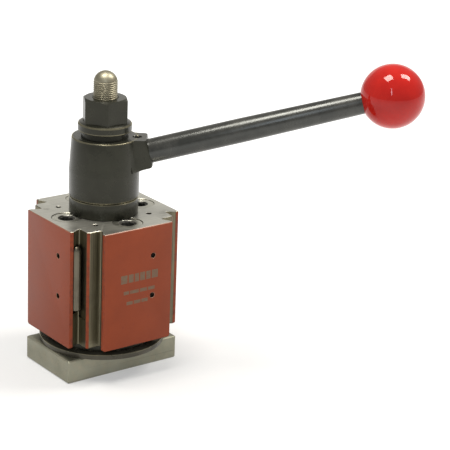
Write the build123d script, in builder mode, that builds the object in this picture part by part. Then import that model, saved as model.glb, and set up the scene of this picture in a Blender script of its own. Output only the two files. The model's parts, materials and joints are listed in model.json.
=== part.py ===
from build123d import *
import math
import os

# Four-station indexable quick change tool post.
# Millimetres, +Z up.  The origin is on the axis of the clamping stud, in the
# plane of the underside of the T-nut blank.  X and Y run square to the body.

STATIONS = 4
QUARTER = 360 / STATIONS
PRESS_GAP = 0.05
RUN_GAP = 0.05
AIR_GAP = 0.3
DRILL_RUNOUT = 1.0

# T-nut blank
NUT_BLANK_X = 103.2
NUT_BLANK_Y = 63.5
NUT_BLANK_H = 19.05
NUT_BLANK_CHAMFER = 0.8

# stud
STUD_R = 9.525
STUD_BOTTOM = 0.0
STUD_TOP = 241.4
STUD_END_CHAMFER = 1.0

# base disc, its index teeth and its detent holes
DISC_R = 50.4
DISC_TOP = 23.4
DISC_CHAMFER = 0.6
TEETH = 24
TOOTH_H = 1.0
TOOTH_R_IN = 39.0
TOOTH_R_OUT = 43.4
TOOTH_WIDTH = 3.0
TOOTH_SIDE_GAP = 0.2
DETENT_R = 1.9
DETENT_BOTTOM = 20.6
DOWEL_R = 3.0
DOWEL_PITCH = 80.0
DOWEL_BOTTOM = 9.0
SLEEVE_SEAT = 2.0

# fixed sleeve that the nut clamps and the post turns on
SLEEVE_R = 18.5
SLEEVE_TOP = 193.9
SLEEVE_CHAMFER = 0.6

# flange nut
FLANGE_R = 21.3
FLANGE_BOTTOM = 194.0
FLANGE_TOP = 201.2
FLANGE_TOP_CHAMFER = 1.2
FLANGE_BOTTOM_CHAMFER = 0.5
NUT_TOP = 220.3
NUT_ACROSS_FLATS = 33.3
NUT_TURN = 3.0
NUT_CROWN_INSET = 0.6
NUT_CHAMFER_ANGLE = 30.0

# post body
BODY_HALF = 50.8
BODY_BOTTOM = 30.0
BODY_TOP = 127.0
FACE_HALF = 31.5
LAND_INNER = (48.0, 31.8)
ROOT = (40.0, 27.2)
ROOT_RADIUS = 2.2
RIDGE_TIP = (40.0, 38.3)
GROOVE_END_CHAMFER = 1.2
TOP_CHAMFER = 0.5
MID_BORE_R = 19.0
SPIGOT_R = 22.4
SPIGOT_TOP = 133.2

# bronze bushes
LOWER_BUSH_R = 21.45
LOWER_BUSH_TOP = 45.0
UPPER_BUSH_R = 20.4
UPPER_BUSH_BOTTOM = 118.0

# retaining collar
COLLAR_R = 27.5
COLLAR_TOP = 140.4
COLLAR_RECESS_R = 24.7
COLLAR_CHAMFER = 0.8
COLLAR_SCREW_R = 2.0
COLLAR_SCREW_TURN = 52.0

# index ring under the body
RING_R_OUT = 44.0
RING_R_IN = 24.0
RING_BOTTOM = 24.6
RING_SCREW_CIRCLE = 29.5
RING_SCREW_R = 2.0
RING_SCREW_HEAD_R = 3.9
RING_SCREW_HEAD_H = 1.9
RING_SCREW_TOP = 41.0
SLOT_DEPTH = 1.25

# thrust bearing between collar and lever hub
WASHER_T = 1.2
ROLLER_R = 1.0
ROLLER_LENGTH = 3.6
ROLLERS = 30
CAGE_T = 1.3

# cam barrels
CAM_CIRCLE = 34.5
CAM_R = 11.8
CAM_BOTTOM = 46.3
CAM_TOP = 126.6
CAM_CHAMFER = 0.5
CAM_NECK_R = 8.5
CAM_NECK_HALF = 4.5
CAM_THROW = 1.1
CAM_SOCKET_AF = 10.0
CAM_SOCKET_DEPTH = 10.0
CAM_SOCKET_TURN = 15.0
CAM_MOUTH_R = 7.0
CAM_MOUTH_DEPTH = 1.2
CAM_MOUTH_ANGLE = 45.0
SEAL_LEVEL = 121.0
SEAL_WIRE_R = 0.9

# gib bars and their push pins
PIN_LEVELS = (68.8, 102.2)
PIN_X = -42.0
PIN_R = 3.0
PIN_INNER_Y = -5.98
GIB_X = -43.9
GIB_Y = -29.5
GIB_R = 4.0
GIB_BOTTOM = 59.1
GIB_POINT_H = 2.6
GIB_TOP = 114.2
GIB_SEAT = 1.6
POCKET_REACH = 6.0
RELIEF_DEPTH = 0.6
RELIEF_TIP_Y = -37.6
RELIEF_BOTTOM = 54.0

# small screws of the body
FACE_SCREW_Y = -13.8
FACE_SCREW_R = 2.05
FACE_SCREW_RECESS = 2.4
FACE_SCREW_SOCKET_AF = 2.0
PLUG_CIRCLE = 36.4
PLUG_TURN = 47.0
PLUG_R = 2.05
PLUG_LENGTH = 7.0
PLUG_RECESS = 1.4
SMALL_SOCKET_DEPTH = 1.6

# spring plunger of the index detent
PLUNGER_NOSE_R = 1.7
PLUNGER_TIP = 22.4
PLUNGER_R = 2.9
PLUNGER_SHOULDER_TOP = 43.0
PLUNGER_BORE_TOP = 58.0
PLUNGER_SPRING_R = 2.3
PLUNGER_WIRE_R = 0.3
PLUNGER_COILS = 7
PLUNGER_POINT = (0.6, 0.9)

# spring that lifts the post when it is unlocked
LIFT_SPRING_R = 21.1
LIFT_WIRE_R = 0.8
LIFT_COILS = 2

# lever hub
HUB_BOTTOM = 140.8
HUB_TOP = 189.0
HUB_R = 27.9
HUB_R_TOP = 26.0
HUB_TAPER_START = 162.0
HUB_CHAMFER = 0.9
HUB_SKIRT_R = 24.4
HUB_SEAL_LEVEL = 186.9
HUB_SEAL_WIRE_R = 1.0

# handle, boss and ball
HANDLE_TURN = -37.5
HANDLE_RISE = 15.55
HANDLE_CROSS_Z = 167.9
HANDLE_R = 9.65
HANDLE_R_END = 8.6
HANDLE_START = 23.6
HANDLE_TAPER_START = 112.0
HANDLE_END = 209.4
HANDLE_STUD_R = 4.75
HANDLE_STUD_END = 229.0
BOSS_END = 37.5
BOSS_WIDTH = 22.4
BOSS_BELOW = 11.5
BOSS_ROUND = 2.6
SET_SCREW_OUT = 25.5
SET_SCREW_R = 3.4
SET_SCREW_TOP = 188.2
SET_SCREW_BOTTOM = 184.3
SET_SCREW_SOCKET_AF = 4.0
BALL_R = 25.4
BALL_CENTRE = 231.6
INSERT_R = 7.0
INSERT_END = 232.0


def turn(k, x, y):
    """Point (x, y) of the first station turned to station k."""
    a = math.radians(QUARTER * k)
    return (x * math.cos(a) - y * math.sin(a), x * math.sin(a) + y * math.cos(a))


def polar(radius, degrees):
    a = math.radians(degrees)
    return (radius * math.cos(a), radius * math.sin(a))


def body_outline():
    """Corner points of the body section, anticlockwise."""
    quarter = [
        (BODY_HALF, FACE_HALF),
        LAND_INNER,
        ROOT,
        RIDGE_TIP,
        RIDGE_TIP[::-1],
        ROOT[::-1],
        LAND_INNER[::-1],
        (FACE_HALF, BODY_HALF),
    ]
    return [turn(k, x, y) for k in range(STATIONS) for x, y in quarter]


def near_root(vertex):
    return any(
        math.dist((vertex.X, vertex.Y), turn(k, *corner)) < 0.01
        for k in range(STATIONS)
        for corner in (ROOT, ROOT[::-1])
    )


def in_groove(edge):
    """True for an edge that lies inside the outer faces of the body."""
    c = edge.center()
    return max(abs(c.X), abs(c.Y)) < BODY_HALF - 0.1


def pin_plane(k, level):
    """Plane on the inner end of a push pin, facing along the pin."""
    x, y = turn(k, PIN_X, PIN_INNER_Y)
    dx, dy = turn(k, 0, -1)
    return Plane(origin=(x, y, level), x_dir=(0, 0, 1), z_dir=(dx, dy, 0))


def face_screw_plane(k, level, depth):
    """Plane at a depth below an outer face, facing outwards."""
    x, y = turn(k, -BODY_HALF + depth, FACE_SCREW_Y)
    dx, dy = turn(k, -1, 0)
    return Plane(origin=(x, y, level), x_dir=(0, 0, 1), z_dir=(dx, dy, 0))


def station_plane(k, level):
    """Horizontal plane turned to station k."""
    dx, dy = turn(k, 1, 0)
    return Plane(origin=(0, 0, level), x_dir=(dx, dy, 0), z_dir=(0, 0, 1))


def handle_plane(along):
    """Plane square to the handle; local Y points up the boss."""
    a = math.radians(HANDLE_TURN)
    e = math.radians(HANDLE_RISE)
    d = (math.cos(e) * math.cos(a), math.cos(e) * math.sin(a), math.sin(e))
    origin = (d[0] * along, d[1] * along, HANDLE_CROSS_Z + d[2] * along)
    return Plane(origin=origin, x_dir=(-math.sin(a), math.cos(a), 0), z_dir=d)


# ---------------------------------------------------------------- fixed parts
with BuildPart() as t_nut_blank:
    with BuildSketch():
        Rectangle(NUT_BLANK_X, NUT_BLANK_Y)
        Circle(STUD_R + PRESS_GAP, mode=Mode.SUBTRACT)
        with GridLocations(DOWEL_PITCH, 0, 2, 1):
            Circle(DOWEL_R + PRESS_GAP, mode=Mode.SUBTRACT)
    extrude(amount=NUT_BLANK_H)
    with BuildSketch():
        with GridLocations(DOWEL_PITCH, 0, 2, 1):
            Circle(DOWEL_R + PRESS_GAP)
    extrude(amount=DOWEL_BOTTOM)
    outer = t_nut_blank.edges().filter_by(GeomType.LINE)
    chamfer(outer, NUT_BLANK_CHAMFER)

with BuildPart() as centre_stud:
    with BuildSketch(Plane.XZ):
        with BuildLine():
            Polyline(
                (0, STUD_BOTTOM),
                (STUD_R - STUD_END_CHAMFER, STUD_BOTTOM),
                (STUD_R, STUD_BOTTOM + STUD_END_CHAMFER),
                (STUD_R, STUD_TOP - STUD_R),
            )
            TangentArc((STUD_R, STUD_TOP - STUD_R), (0, STUD_TOP), tangent=(0, 1))
            Line((0, STUD_TOP), (0, STUD_BOTTOM))
        make_face()
    revolve(axis=Axis.Z)

with BuildPart() as base_disc:
    with BuildSketch(Plane.XY.offset(NUT_BLANK_H)):
        Circle(DISC_R)
        Circle(STUD_R + PRESS_GAP, mode=Mode.SUBTRACT)
    extrude(amount=DISC_TOP - NUT_BLANK_H)
    rims = base_disc.edges().filter_by(GeomType.CIRCLE).sort_by(SortBy.RADIUS)[-2:]
    chamfer(rims, DISC_CHAMFER)
    with BuildSketch(Plane.XY.offset(DISC_TOP - SLEEVE_SEAT)):
        Circle(SLEEVE_R + PRESS_GAP)
    extrude(amount=SLEEVE_SEAT, mode=Mode.SUBTRACT)
    with BuildSketch(Plane.XY.offset(DISC_TOP)):
        with PolarLocations((TOOTH_R_IN + TOOTH_R_OUT) / 2, TEETH):
            Rectangle(TOOTH_R_OUT - TOOTH_R_IN, TOOTH_WIDTH)
    extrude(amount=TOOTH_H)
    with BuildSketch(Plane.XY.offset(DETENT_BOTTOM)):
        with PolarLocations(PLUG_CIRCLE, TEETH, start_angle=PLUG_TURN):
            Circle(DETENT_R)
    extrude(amount=DISC_TOP - DETENT_BOTTOM, mode=Mode.SUBTRACT)
    with BuildSketch(Plane.XY.offset(NUT_BLANK_H)):
        with GridLocations(DOWEL_PITCH, 0, 2, 1):
            Circle(DOWEL_R + PRESS_GAP)
    extrude(amount=DISC_TOP - TOOTH_H - NUT_BLANK_H, mode=Mode.SUBTRACT)

with BuildPart() as disc_dowels:
    with BuildSketch(Plane.XY.offset(DOWEL_BOTTOM)):
        with GridLocations(DOWEL_PITCH, 0, 2, 1):
            Circle(DOWEL_R)
    extrude(amount=DISC_TOP - TOOTH_H - PRESS_GAP - DOWEL_BOTTOM)

with BuildPart() as clamp_sleeve:
    with BuildSketch(Plane.XY.offset(DISC_TOP - SLEEVE_SEAT)):
        Circle(SLEEVE_R)
        Circle(STUD_R + AIR_GAP, mode=Mode.SUBTRACT)
    extrude(amount=SLEEVE_TOP - DISC_TOP + SLEEVE_SEAT)
    chamfer(clamp_sleeve.edges().group_by(Axis.Z)[-1], SLEEVE_CHAMFER)

with BuildPart() as flange_nut:
    with BuildSketch(Plane.XY.offset(FLANGE_BOTTOM)):
        Circle(FLANGE_R)
    extrude(amount=FLANGE_TOP - FLANGE_BOTTOM)
    chamfer(flange_nut.edges().group_by(Axis.Z)[-1], FLANGE_TOP_CHAMFER)
    chamfer(flange_nut.edges().group_by(Axis.Z)[0], FLANGE_BOTTOM_CHAMFER)
    with BuildSketch(Plane.XY.offset(FLANGE_TOP)):
        RegularPolygon(NUT_ACROSS_FLATS / 2, 6, major_radius=False, rotation=NUT_TURN)
    extrude(amount=NUT_TOP - FLANGE_TOP)
    crown_r = NUT_ACROSS_FLATS / 2 - NUT_CROWN_INSET
    tool_r = NUT_ACROSS_FLATS / math.sqrt(3) + DRILL_RUNOUT
    drop = (tool_r - crown_r) * math.tan(math.radians(NUT_CHAMFER_ANGLE))
    with BuildSketch(Plane.XZ):
        with BuildLine():
            Polyline(
                (crown_r, NUT_TOP),
                (tool_r, NUT_TOP),
                (tool_r, NUT_TOP - drop),
                close=True,
            )
        make_face()
    revolve(axis=Axis.Z, mode=Mode.SUBTRACT)
    with BuildSketch(Plane.XY.offset(FLANGE_BOTTOM)):
        Circle(STUD_R + PRESS_GAP)
    extrude(amount=NUT_TOP - FLANGE_BOTTOM, mode=Mode.SUBTRACT)

# ------------------------------------------------- thrust bearing of the lever
bearing_bottom = SPIGOT_TOP + AIR_GAP
roller_level = bearing_bottom + WASHER_T + PRESS_GAP + ROLLER_R
upper_washer_bottom = roller_level + ROLLER_R + PRESS_GAP
bearing_top = upper_washer_bottom + WASHER_T
washer_r_in = MID_BORE_R
washer_r_out = COLLAR_RECESS_R - AIR_GAP
roller_circle = (washer_r_in + washer_r_out) / 2


def washer_rings():
    """Section shared by both washers of the bearing."""
    Circle(washer_r_out)
    Circle(washer_r_in, mode=Mode.SUBTRACT)


with BuildPart() as thrust_washer_lower:
    with BuildSketch(Plane.XY.offset(bearing_bottom)):
        washer_rings()
    extrude(amount=WASHER_T)

with BuildPart() as needle_rollers:
    for i in range(ROLLERS):
        dx, dy = polar(1, 360 / ROLLERS * i)
        start = roller_circle - ROLLER_LENGTH / 2
        inner_end = Plane(
            origin=(dx * start, dy * start, roller_level), x_dir=(0, 0, 1), z_dir=(dx, dy, 0)
        )
        with BuildSketch(inner_end):
            Circle(ROLLER_R)
        extrude(amount=ROLLER_LENGTH)

with BuildPart() as needle_cage:
    with BuildSketch(Plane.XY.offset(roller_level - CAGE_T / 2)):
        washer_rings()
        with PolarLocations(roller_circle, ROLLERS):
            Rectangle(
                ROLLER_LENGTH + 2 * PRESS_GAP, 2 * (ROLLER_R + PRESS_GAP), mode=Mode.SUBTRACT
            )
    extrude(amount=CAGE_T)

with BuildPart() as thrust_washer_upper:
    with BuildSketch(Plane.XY.offset(upper_washer_bottom)):
        washer_rings()
    extrude(amount=WASHER_T)

# --------------------------------------------------------------- turning post
cam_bore_r = CAM_R + RUN_GAP
cam_bore_bottom = CAM_BOTTOM - AIR_GAP
pocket_top = GIB_TOP + AIR_GAP
pocket_bottom = GIB_BOTTOM - AIR_GAP

with BuildPart() as post_body:
    with BuildSketch(Plane.XY.offset(BODY_BOTTOM)) as section:
        Polygon(*body_outline(), align=None)
        fillet(section.vertices().filter_by(near_root), ROOT_RADIUS)
    extrude(amount=BODY_TOP - BODY_BOTTOM)
    chamfer(post_body.edges().group_by(Axis.Z)[-1], TOP_CHAMFER)
    low_edges = post_body.edges().group_by(Axis.Z)[0].filter_by(in_groove)
    chamfer(low_edges, GROOVE_END_CHAMFER)
    # spigot that carries the collar, and the stepped central bore
    with BuildSketch(Plane.XY.offset(BODY_TOP)):
        Circle(SPIGOT_R)
    extrude(amount=SPIGOT_TOP - BODY_TOP)
    with BuildSketch(Plane.XY.offset(BODY_BOTTOM)):
        Circle(MID_BORE_R)
    extrude(amount=SPIGOT_TOP - BODY_BOTTOM, mode=Mode.SUBTRACT)
    with BuildSketch(Plane.XY.offset(BODY_BOTTOM)):
        Circle(LOWER_BUSH_R + PRESS_GAP)
    extrude(amount=LOWER_BUSH_TOP - BODY_BOTTOM, mode=Mode.SUBTRACT)
    with BuildSketch(Plane.XY.offset(UPPER_BUSH_BOTTOM)):
        Circle(UPPER_BUSH_R + PRESS_GAP)
    extrude(amount=SPIGOT_TOP - UPPER_BUSH_BOTTOM, mode=Mode.SUBTRACT)
    # cam bores, blind at the bottom
    with BuildSketch(Plane.XY.offset(cam_bore_bottom)):
        with PolarLocations(CAM_CIRCLE, STATIONS):
            Circle(cam_bore_r)
    extrude(amount=BODY_TOP - cam_bore_bottom, mode=Mode.SUBTRACT)
    # plug holes in the top and tapped holes for the ring screws below
    with BuildSketch(Plane.XY.offset(BODY_TOP - PLUG_RECESS - PLUG_LENGTH - DRILL_RUNOUT)):
        with PolarLocations(PLUG_CIRCLE, STATIONS, start_angle=PLUG_TURN):
            Circle(PLUG_R + PRESS_GAP)
    extrude(amount=PLUG_RECESS + PLUG_LENGTH + DRILL_RUNOUT, mode=Mode.SUBTRACT)
    with BuildSketch(Plane.XY.offset(BODY_BOTTOM)):
        with PolarLocations(RING_SCREW_CIRCLE, STATIONS):
            Circle(RING_SCREW_R + PRESS_GAP)
    extrude(amount=RING_SCREW_TOP - BODY_BOTTOM + DRILL_RUNOUT, mode=Mode.SUBTRACT)
    # bore of the index plunger
    with BuildSketch(Plane.XY.offset(BODY_BOTTOM)):
        with Locations(polar(PLUG_CIRCLE, PLUG_TURN)):
            Circle(PLUNGER_R + PRESS_GAP)
    extrude(amount=PLUNGER_BORE_TOP - BODY_BOTTOM, mode=Mode.SUBTRACT)
    for k in range(STATIONS):
        # milled pocket of the gib bar, open towards the groove
        with BuildSketch(station_plane(k, pocket_bottom)):
            with Locations((GIB_X, GIB_Y)):
                Circle(GIB_R + RUN_GAP)
            with Locations((GIB_X, GIB_Y - POCKET_REACH / 2)):
                Rectangle(2 * (GIB_R + RUN_GAP), POCKET_REACH)
        extrude(amount=pocket_top - pocket_bottom, mode=Mode.SUBTRACT)
        # shallow relief in the wall of the ridge opposite the bar
        relief_plane = Plane(
            origin=(*turn(k, -RIDGE_TIP[0] + RELIEF_DEPTH, 0), 0),
            x_dir=(*turn(k, 0, 1), 0),
            z_dir=(*turn(k, -1, 0), 0),
        )
        relief_y = (-ROOT[1] + RELIEF_TIP_Y) / 2
        with BuildSketch(relief_plane):
            with Locations((relief_y, -(RELIEF_BOTTOM + GIB_TOP) / 2)):
                Rectangle(-ROOT[1] - RELIEF_TIP_Y, GIB_TOP - RELIEF_BOTTOM)
        extrude(amount=2 * RELIEF_DEPTH, mode=Mode.SUBTRACT)
        for level in PIN_LEVELS:
            with BuildSketch(pin_plane(k, level)):
                Circle(PIN_R + RUN_GAP)
            extrude(amount=PIN_INNER_Y - GIB_Y, mode=Mode.SUBTRACT)
            with BuildSketch(face_screw_plane(k, level, BODY_HALF + PIN_X)):
                Circle(FACE_SCREW_R + PRESS_GAP)
            extrude(amount=BODY_HALF + PIN_X, mode=Mode.SUBTRACT)

with BuildPart() as index_ring:
    with BuildSketch(Plane.XY.offset(RING_BOTTOM)):
        Circle(RING_R_OUT)
        Circle(RING_R_IN, mode=Mode.SUBTRACT)
        with PolarLocations(RING_SCREW_CIRCLE, STATIONS):
            Circle(RING_SCREW_R + PRESS_GAP, mode=Mode.SUBTRACT)
        with Locations(polar(PLUG_CIRCLE, PLUG_TURN)):
            Circle(PLUNGER_NOSE_R + RUN_GAP, mode=Mode.SUBTRACT)
    extrude(amount=BODY_BOTTOM - PRESS_GAP - RING_BOTTOM)
    slot_r_in = TOOTH_R_IN - TOOTH_SIDE_GAP
    slot_r_out = TOOTH_R_OUT + TOOTH_SIDE_GAP
    with BuildSketch(Plane.XY.offset(RING_BOTTOM)):
        with PolarLocations((slot_r_in + slot_r_out) / 2, TEETH):
            Rectangle(slot_r_out - slot_r_in, TOOTH_WIDTH + 2 * TOOTH_SIDE_GAP)
    extrude(amount=SLOT_DEPTH, mode=Mode.SUBTRACT)
    with BuildSketch(Plane.XY.offset(RING_BOTTOM)):
        with PolarLocations(RING_SCREW_CIRCLE, STATIONS):
            Circle(RING_SCREW_HEAD_R + PRESS_GAP)
    extrude(amount=RING_SCREW_HEAD_H + AIR_GAP + PRESS_GAP, mode=Mode.SUBTRACT)

with BuildPart() as ring_screws:
    with BuildSketch(Plane.XY.offset(RING_BOTTOM + AIR_GAP)):
        with PolarLocations(RING_SCREW_CIRCLE, STATIONS):
            Circle(RING_SCREW_HEAD_R)
            RegularPolygon(RING_SCREW_R / 2, 6, major_radius=False, mode=Mode.SUBTRACT)
    extrude(amount=RING_SCREW_HEAD_H)
    with BuildSketch(Plane.XY.offset(RING_BOTTOM + AIR_GAP + RING_SCREW_HEAD_H)):
        with PolarLocations(RING_SCREW_CIRCLE, STATIONS):
            Circle(RING_SCREW_R)
    extrude(amount=RING_SCREW_TOP - RING_BOTTOM - AIR_GAP - RING_SCREW_HEAD_H)

with BuildPart() as lower_bush:
    with BuildSketch(Plane.XY.offset(BODY_BOTTOM + AIR_GAP)):
        Circle(LOWER_BUSH_R)
        Circle(SLEEVE_R + RUN_GAP, mode=Mode.SUBTRACT)
    extrude(amount=LOWER_BUSH_TOP - BODY_BOTTOM - 2 * AIR_GAP)

with BuildPart() as upper_bush:
    with BuildSketch(Plane.XY.offset(UPPER_BUSH_BOTTOM + AIR_GAP)):
        Circle(UPPER_BUSH_R)
        Circle(SLEEVE_R + RUN_GAP, mode=Mode.SUBTRACT)
    extrude(amount=SPIGOT_TOP - UPPER_BUSH_BOTTOM - 2 * AIR_GAP)

collar_x, collar_y = polar(1, COLLAR_SCREW_TURN)
collar_screw_level = (BODY_TOP + SPIGOT_TOP) / 2
collar_screw_plane = Plane(
    origin=(collar_x * SPIGOT_R, collar_y * SPIGOT_R, collar_screw_level),
    x_dir=(0, 0, 1),
    z_dir=(collar_x, collar_y, 0),
)

with BuildPart() as retaining_collar:
    with BuildSketch(Plane.XY.offset(BODY_TOP + PRESS_GAP)):
        Circle(COLLAR_R)
        Circle(SPIGOT_R + PRESS_GAP, mode=Mode.SUBTRACT)
    extrude(amount=COLLAR_TOP - BODY_TOP - PRESS_GAP)
    rims = retaining_collar.edges().filter_by(GeomType.CIRCLE).sort_by(SortBy.RADIUS)[-2:]
    chamfer(rims, COLLAR_CHAMFER)
    with BuildSketch(Plane.XY.offset(SPIGOT_TOP)):
        Circle(COLLAR_RECESS_R)
    extrude(amount=COLLAR_TOP - SPIGOT_TOP, mode=Mode.SUBTRACT)
    with BuildSketch(collar_screw_plane):
        Circle(COLLAR_SCREW_R + PRESS_GAP)
    extrude(amount=COLLAR_R - SPIGOT_R + DRILL_RUNOUT, mode=Mode.SUBTRACT)

with BuildPart() as collar_screw:
    with BuildSketch(collar_screw_plane.offset(AIR_GAP)):
        Circle(COLLAR_SCREW_R)
    extrude(amount=COLLAR_R - SPIGOT_R - 3 * AIR_GAP)
    with BuildSketch(collar_screw_plane.offset(COLLAR_R - SPIGOT_R - 2 * AIR_GAP)):
        RegularPolygon(COLLAR_SCREW_R / 2, 6, major_radius=False)
    extrude(amount=-SMALL_SOCKET_DEPTH, mode=Mode.SUBTRACT)

with BuildPart() as top_plugs:
    with BuildSketch(Plane.XY.offset(BODY_TOP - PLUG_RECESS - PLUG_LENGTH)):
        with PolarLocations(PLUG_CIRCLE, STATIONS, start_angle=PLUG_TURN):
            Circle(PLUG_R)
    extrude(amount=PLUG_LENGTH)
    with BuildSketch(Plane.XY.offset(BODY_TOP - PLUG_RECESS)):
        with PolarLocations(PLUG_CIRCLE, STATIONS, start_angle=PLUG_TURN):
            RegularPolygon(FACE_SCREW_SOCKET_AF / 2, 6, major_radius=False)
    extrude(amount=-SMALL_SOCKET_DEPTH, mode=Mode.SUBTRACT)

face_screw_length = BODY_HALF + PIN_X - PIN_R - FACE_SCREW_RECESS - AIR_GAP
with BuildPart() as face_screws:
    for k in range(STATIONS):
        for level in PIN_LEVELS:
            with BuildSketch(face_screw_plane(k, level, FACE_SCREW_RECESS)):
                Circle(FACE_SCREW_R)
            extrude(amount=-face_screw_length)
            with BuildSketch(face_screw_plane(k, level, FACE_SCREW_RECESS)):
                RegularPolygon(FACE_SCREW_SOCKET_AF / 2, 6, major_radius=False)
            extrude(amount=-SMALL_SOCKET_DEPTH, mode=Mode.SUBTRACT)

# ------------------------------------------------------ index plunger, springs
plunger_x, plunger_y = polar(PLUG_CIRCLE, PLUG_TURN)
plunger_section = Plane(origin=(plunger_x, plunger_y, 0), x_dir=(1, 0, 0), z_dir=(0, -1, 0))

with BuildPart() as index_plunger:
    with BuildSketch(plunger_section):
        with BuildLine():
            Polyline(
                (0, PLUNGER_TIP),
                (PLUNGER_NOSE_R - PLUNGER_POINT[0], PLUNGER_TIP),
                (PLUNGER_NOSE_R, PLUNGER_TIP + PLUNGER_POINT[1]),
                (PLUNGER_NOSE_R, BODY_BOTTOM + AIR_GAP),
                (PLUNGER_R, BODY_BOTTOM + AIR_GAP),
                (PLUNGER_R, PLUNGER_SHOULDER_TOP),
                (0, PLUNGER_SHOULDER_TOP),
                close=True,
            )
        make_face()
    revolve(axis=Axis((plunger_x, plunger_y, 0), (0, 0, 1)))

with BuildPart() as plunger_spring:
    spring_low = PLUNGER_SHOULDER_TOP + PLUNGER_WIRE_R + PRESS_GAP
    spring_high = PLUNGER_BORE_TOP - PLUNGER_WIRE_R - AIR_GAP
    with BuildLine() as plunger_coil:
        Helix(
            pitch=(spring_high - spring_low) / PLUNGER_COILS,
            height=spring_high - spring_low,
            radius=PLUNGER_SPRING_R,
            center=(plunger_x, plunger_y, spring_low),
        )
    with BuildSketch(Plane(origin=plunger_coil.line @ 0, z_dir=plunger_coil.line % 0)):
        Circle(PLUNGER_WIRE_R)
    sweep(path=plunger_coil.line, is_frenet=True)

with BuildPart() as lift_spring:
    spring_low = DISC_TOP + LIFT_WIRE_R + PRESS_GAP
    spring_high = BODY_BOTTOM - LIFT_WIRE_R - PRESS_GAP
    with BuildLine() as lift_coil:
        Helix(
            pitch=(spring_high - spring_low) / LIFT_COILS,
            height=spring_high - spring_low,
            radius=LIFT_SPRING_R,
            center=(0, 0, spring_low),
        )
    with BuildSketch(Plane(origin=lift_coil.line @ 0, z_dir=lift_coil.line % 0)):
        Circle(LIFT_WIRE_R)
    sweep(path=lift_coil.line, is_frenet=True)

# -------------------------------------------- clamping gear of each station
cam_parts = {}
seal_r = CAM_R - SEAL_WIRE_R
for k in range(STATIONS):
    cam_x, cam_y = turn(k, -CAM_CIRCLE, 0)
    neck_shift = CAM_THROW / math.sqrt(2)
    neck_dx, neck_dy = turn(k, neck_shift, neck_shift)
    gib_x, gib_y = turn(k, GIB_X, GIB_Y)

    with BuildPart() as cam_barrel:
        with BuildSketch(Plane.XY.offset(CAM_BOTTOM)):
            with Locations((cam_x, cam_y)):
                Circle(CAM_R)
        extrude(amount=CAM_TOP - CAM_BOTTOM)
        chamfer(cam_barrel.edges().filter_by(GeomType.CIRCLE), CAM_CHAMFER)
        for level in PIN_LEVELS:
            with BuildSketch(Plane.XY.offset(level - CAM_NECK_HALF)):
                with Locations((cam_x, cam_y)):
                    Circle(CAM_R + DRILL_RUNOUT)
                with Locations((cam_x + neck_dx, cam_y + neck_dy)):
                    Circle(CAM_NECK_R, mode=Mode.SUBTRACT)
            extrude(amount=2 * CAM_NECK_HALF, mode=Mode.SUBTRACT)
        with BuildSketch(Plane.XY.offset(SEAL_LEVEL - SEAL_WIRE_R - PRESS_GAP)):
            with Locations((cam_x, cam_y)):
                Circle(CAM_R + DRILL_RUNOUT)
                Circle(seal_r - SEAL_WIRE_R - PRESS_GAP, mode=Mode.SUBTRACT)
        extrude(amount=2 * (SEAL_WIRE_R + PRESS_GAP), mode=Mode.SUBTRACT)
        with BuildSketch(Plane.XY.offset(CAM_TOP)):
            with Locations((cam_x, cam_y)):
                socket_turn = QUARTER * k + CAM_SOCKET_TURN
                RegularPolygon(CAM_SOCKET_AF / 2, 6, major_radius=False, rotation=socket_turn)
        extrude(amount=-CAM_SOCKET_DEPTH, mode=Mode.SUBTRACT)
        with BuildSketch(Plane.XY.offset(CAM_TOP)):
            with Locations((cam_x, cam_y)):
                Circle(CAM_MOUTH_R)
        extrude(amount=-CAM_MOUTH_DEPTH, taper=CAM_MOUTH_ANGLE, mode=Mode.SUBTRACT)
    cam_parts[f"cam_barrel_{k + 1}"] = cam_barrel

    with BuildPart() as cam_seal:
        seal_section = Plane(origin=(cam_x, cam_y, 0), x_dir=(1, 0, 0), z_dir=(0, -1, 0))
        with BuildSketch(seal_section):
            with Locations((seal_r, SEAL_LEVEL)):
                Circle(SEAL_WIRE_R)
        revolve(axis=Axis((cam_x, cam_y, 0), (0, 0, 1)))
    cam_parts[f"cam_seal_{k + 1}"] = cam_seal

    with BuildPart() as gib_bar:
        gib_section = Plane(origin=(gib_x, gib_y, 0), x_dir=(1, 0, 0), z_dir=(0, -1, 0))
        with BuildSketch(gib_section):
            with BuildLine():
                Polyline(
                    (0, GIB_BOTTOM),
                    (GIB_R, GIB_BOTTOM + GIB_POINT_H),
                    (GIB_R, GIB_TOP - GIB_R),
                )
                TangentArc((GIB_R, GIB_TOP - GIB_R), (0, GIB_TOP), tangent=(0, 1))
                Line((0, GIB_TOP), (0, GIB_BOTTOM))
            make_face()
        revolve(axis=Axis((gib_x, gib_y, 0), (0, 0, 1)))
        seat_depth = GIB_Y + GIB_R - GIB_SEAT - PIN_INNER_Y
        for level in PIN_LEVELS:
            with BuildSketch(pin_plane(k, level)):
                Circle(PIN_R + PRESS_GAP)
            extrude(amount=-seat_depth, mode=Mode.SUBTRACT)
    cam_parts[f"gib_bar_{k + 1}"] = gib_bar

    with BuildPart() as push_pins:
        for level in PIN_LEVELS:
            with BuildSketch(pin_plane(k, level)):
                Circle(PIN_R)
            extrude(amount=-seat_depth - PRESS_GAP)
    cam_parts[f"push_pins_{k + 1}"] = push_pins

# ------------------------------------------------------- lever, handle, ball
screw_x, screw_y = polar(SET_SCREW_OUT, HANDLE_TURN)

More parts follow.
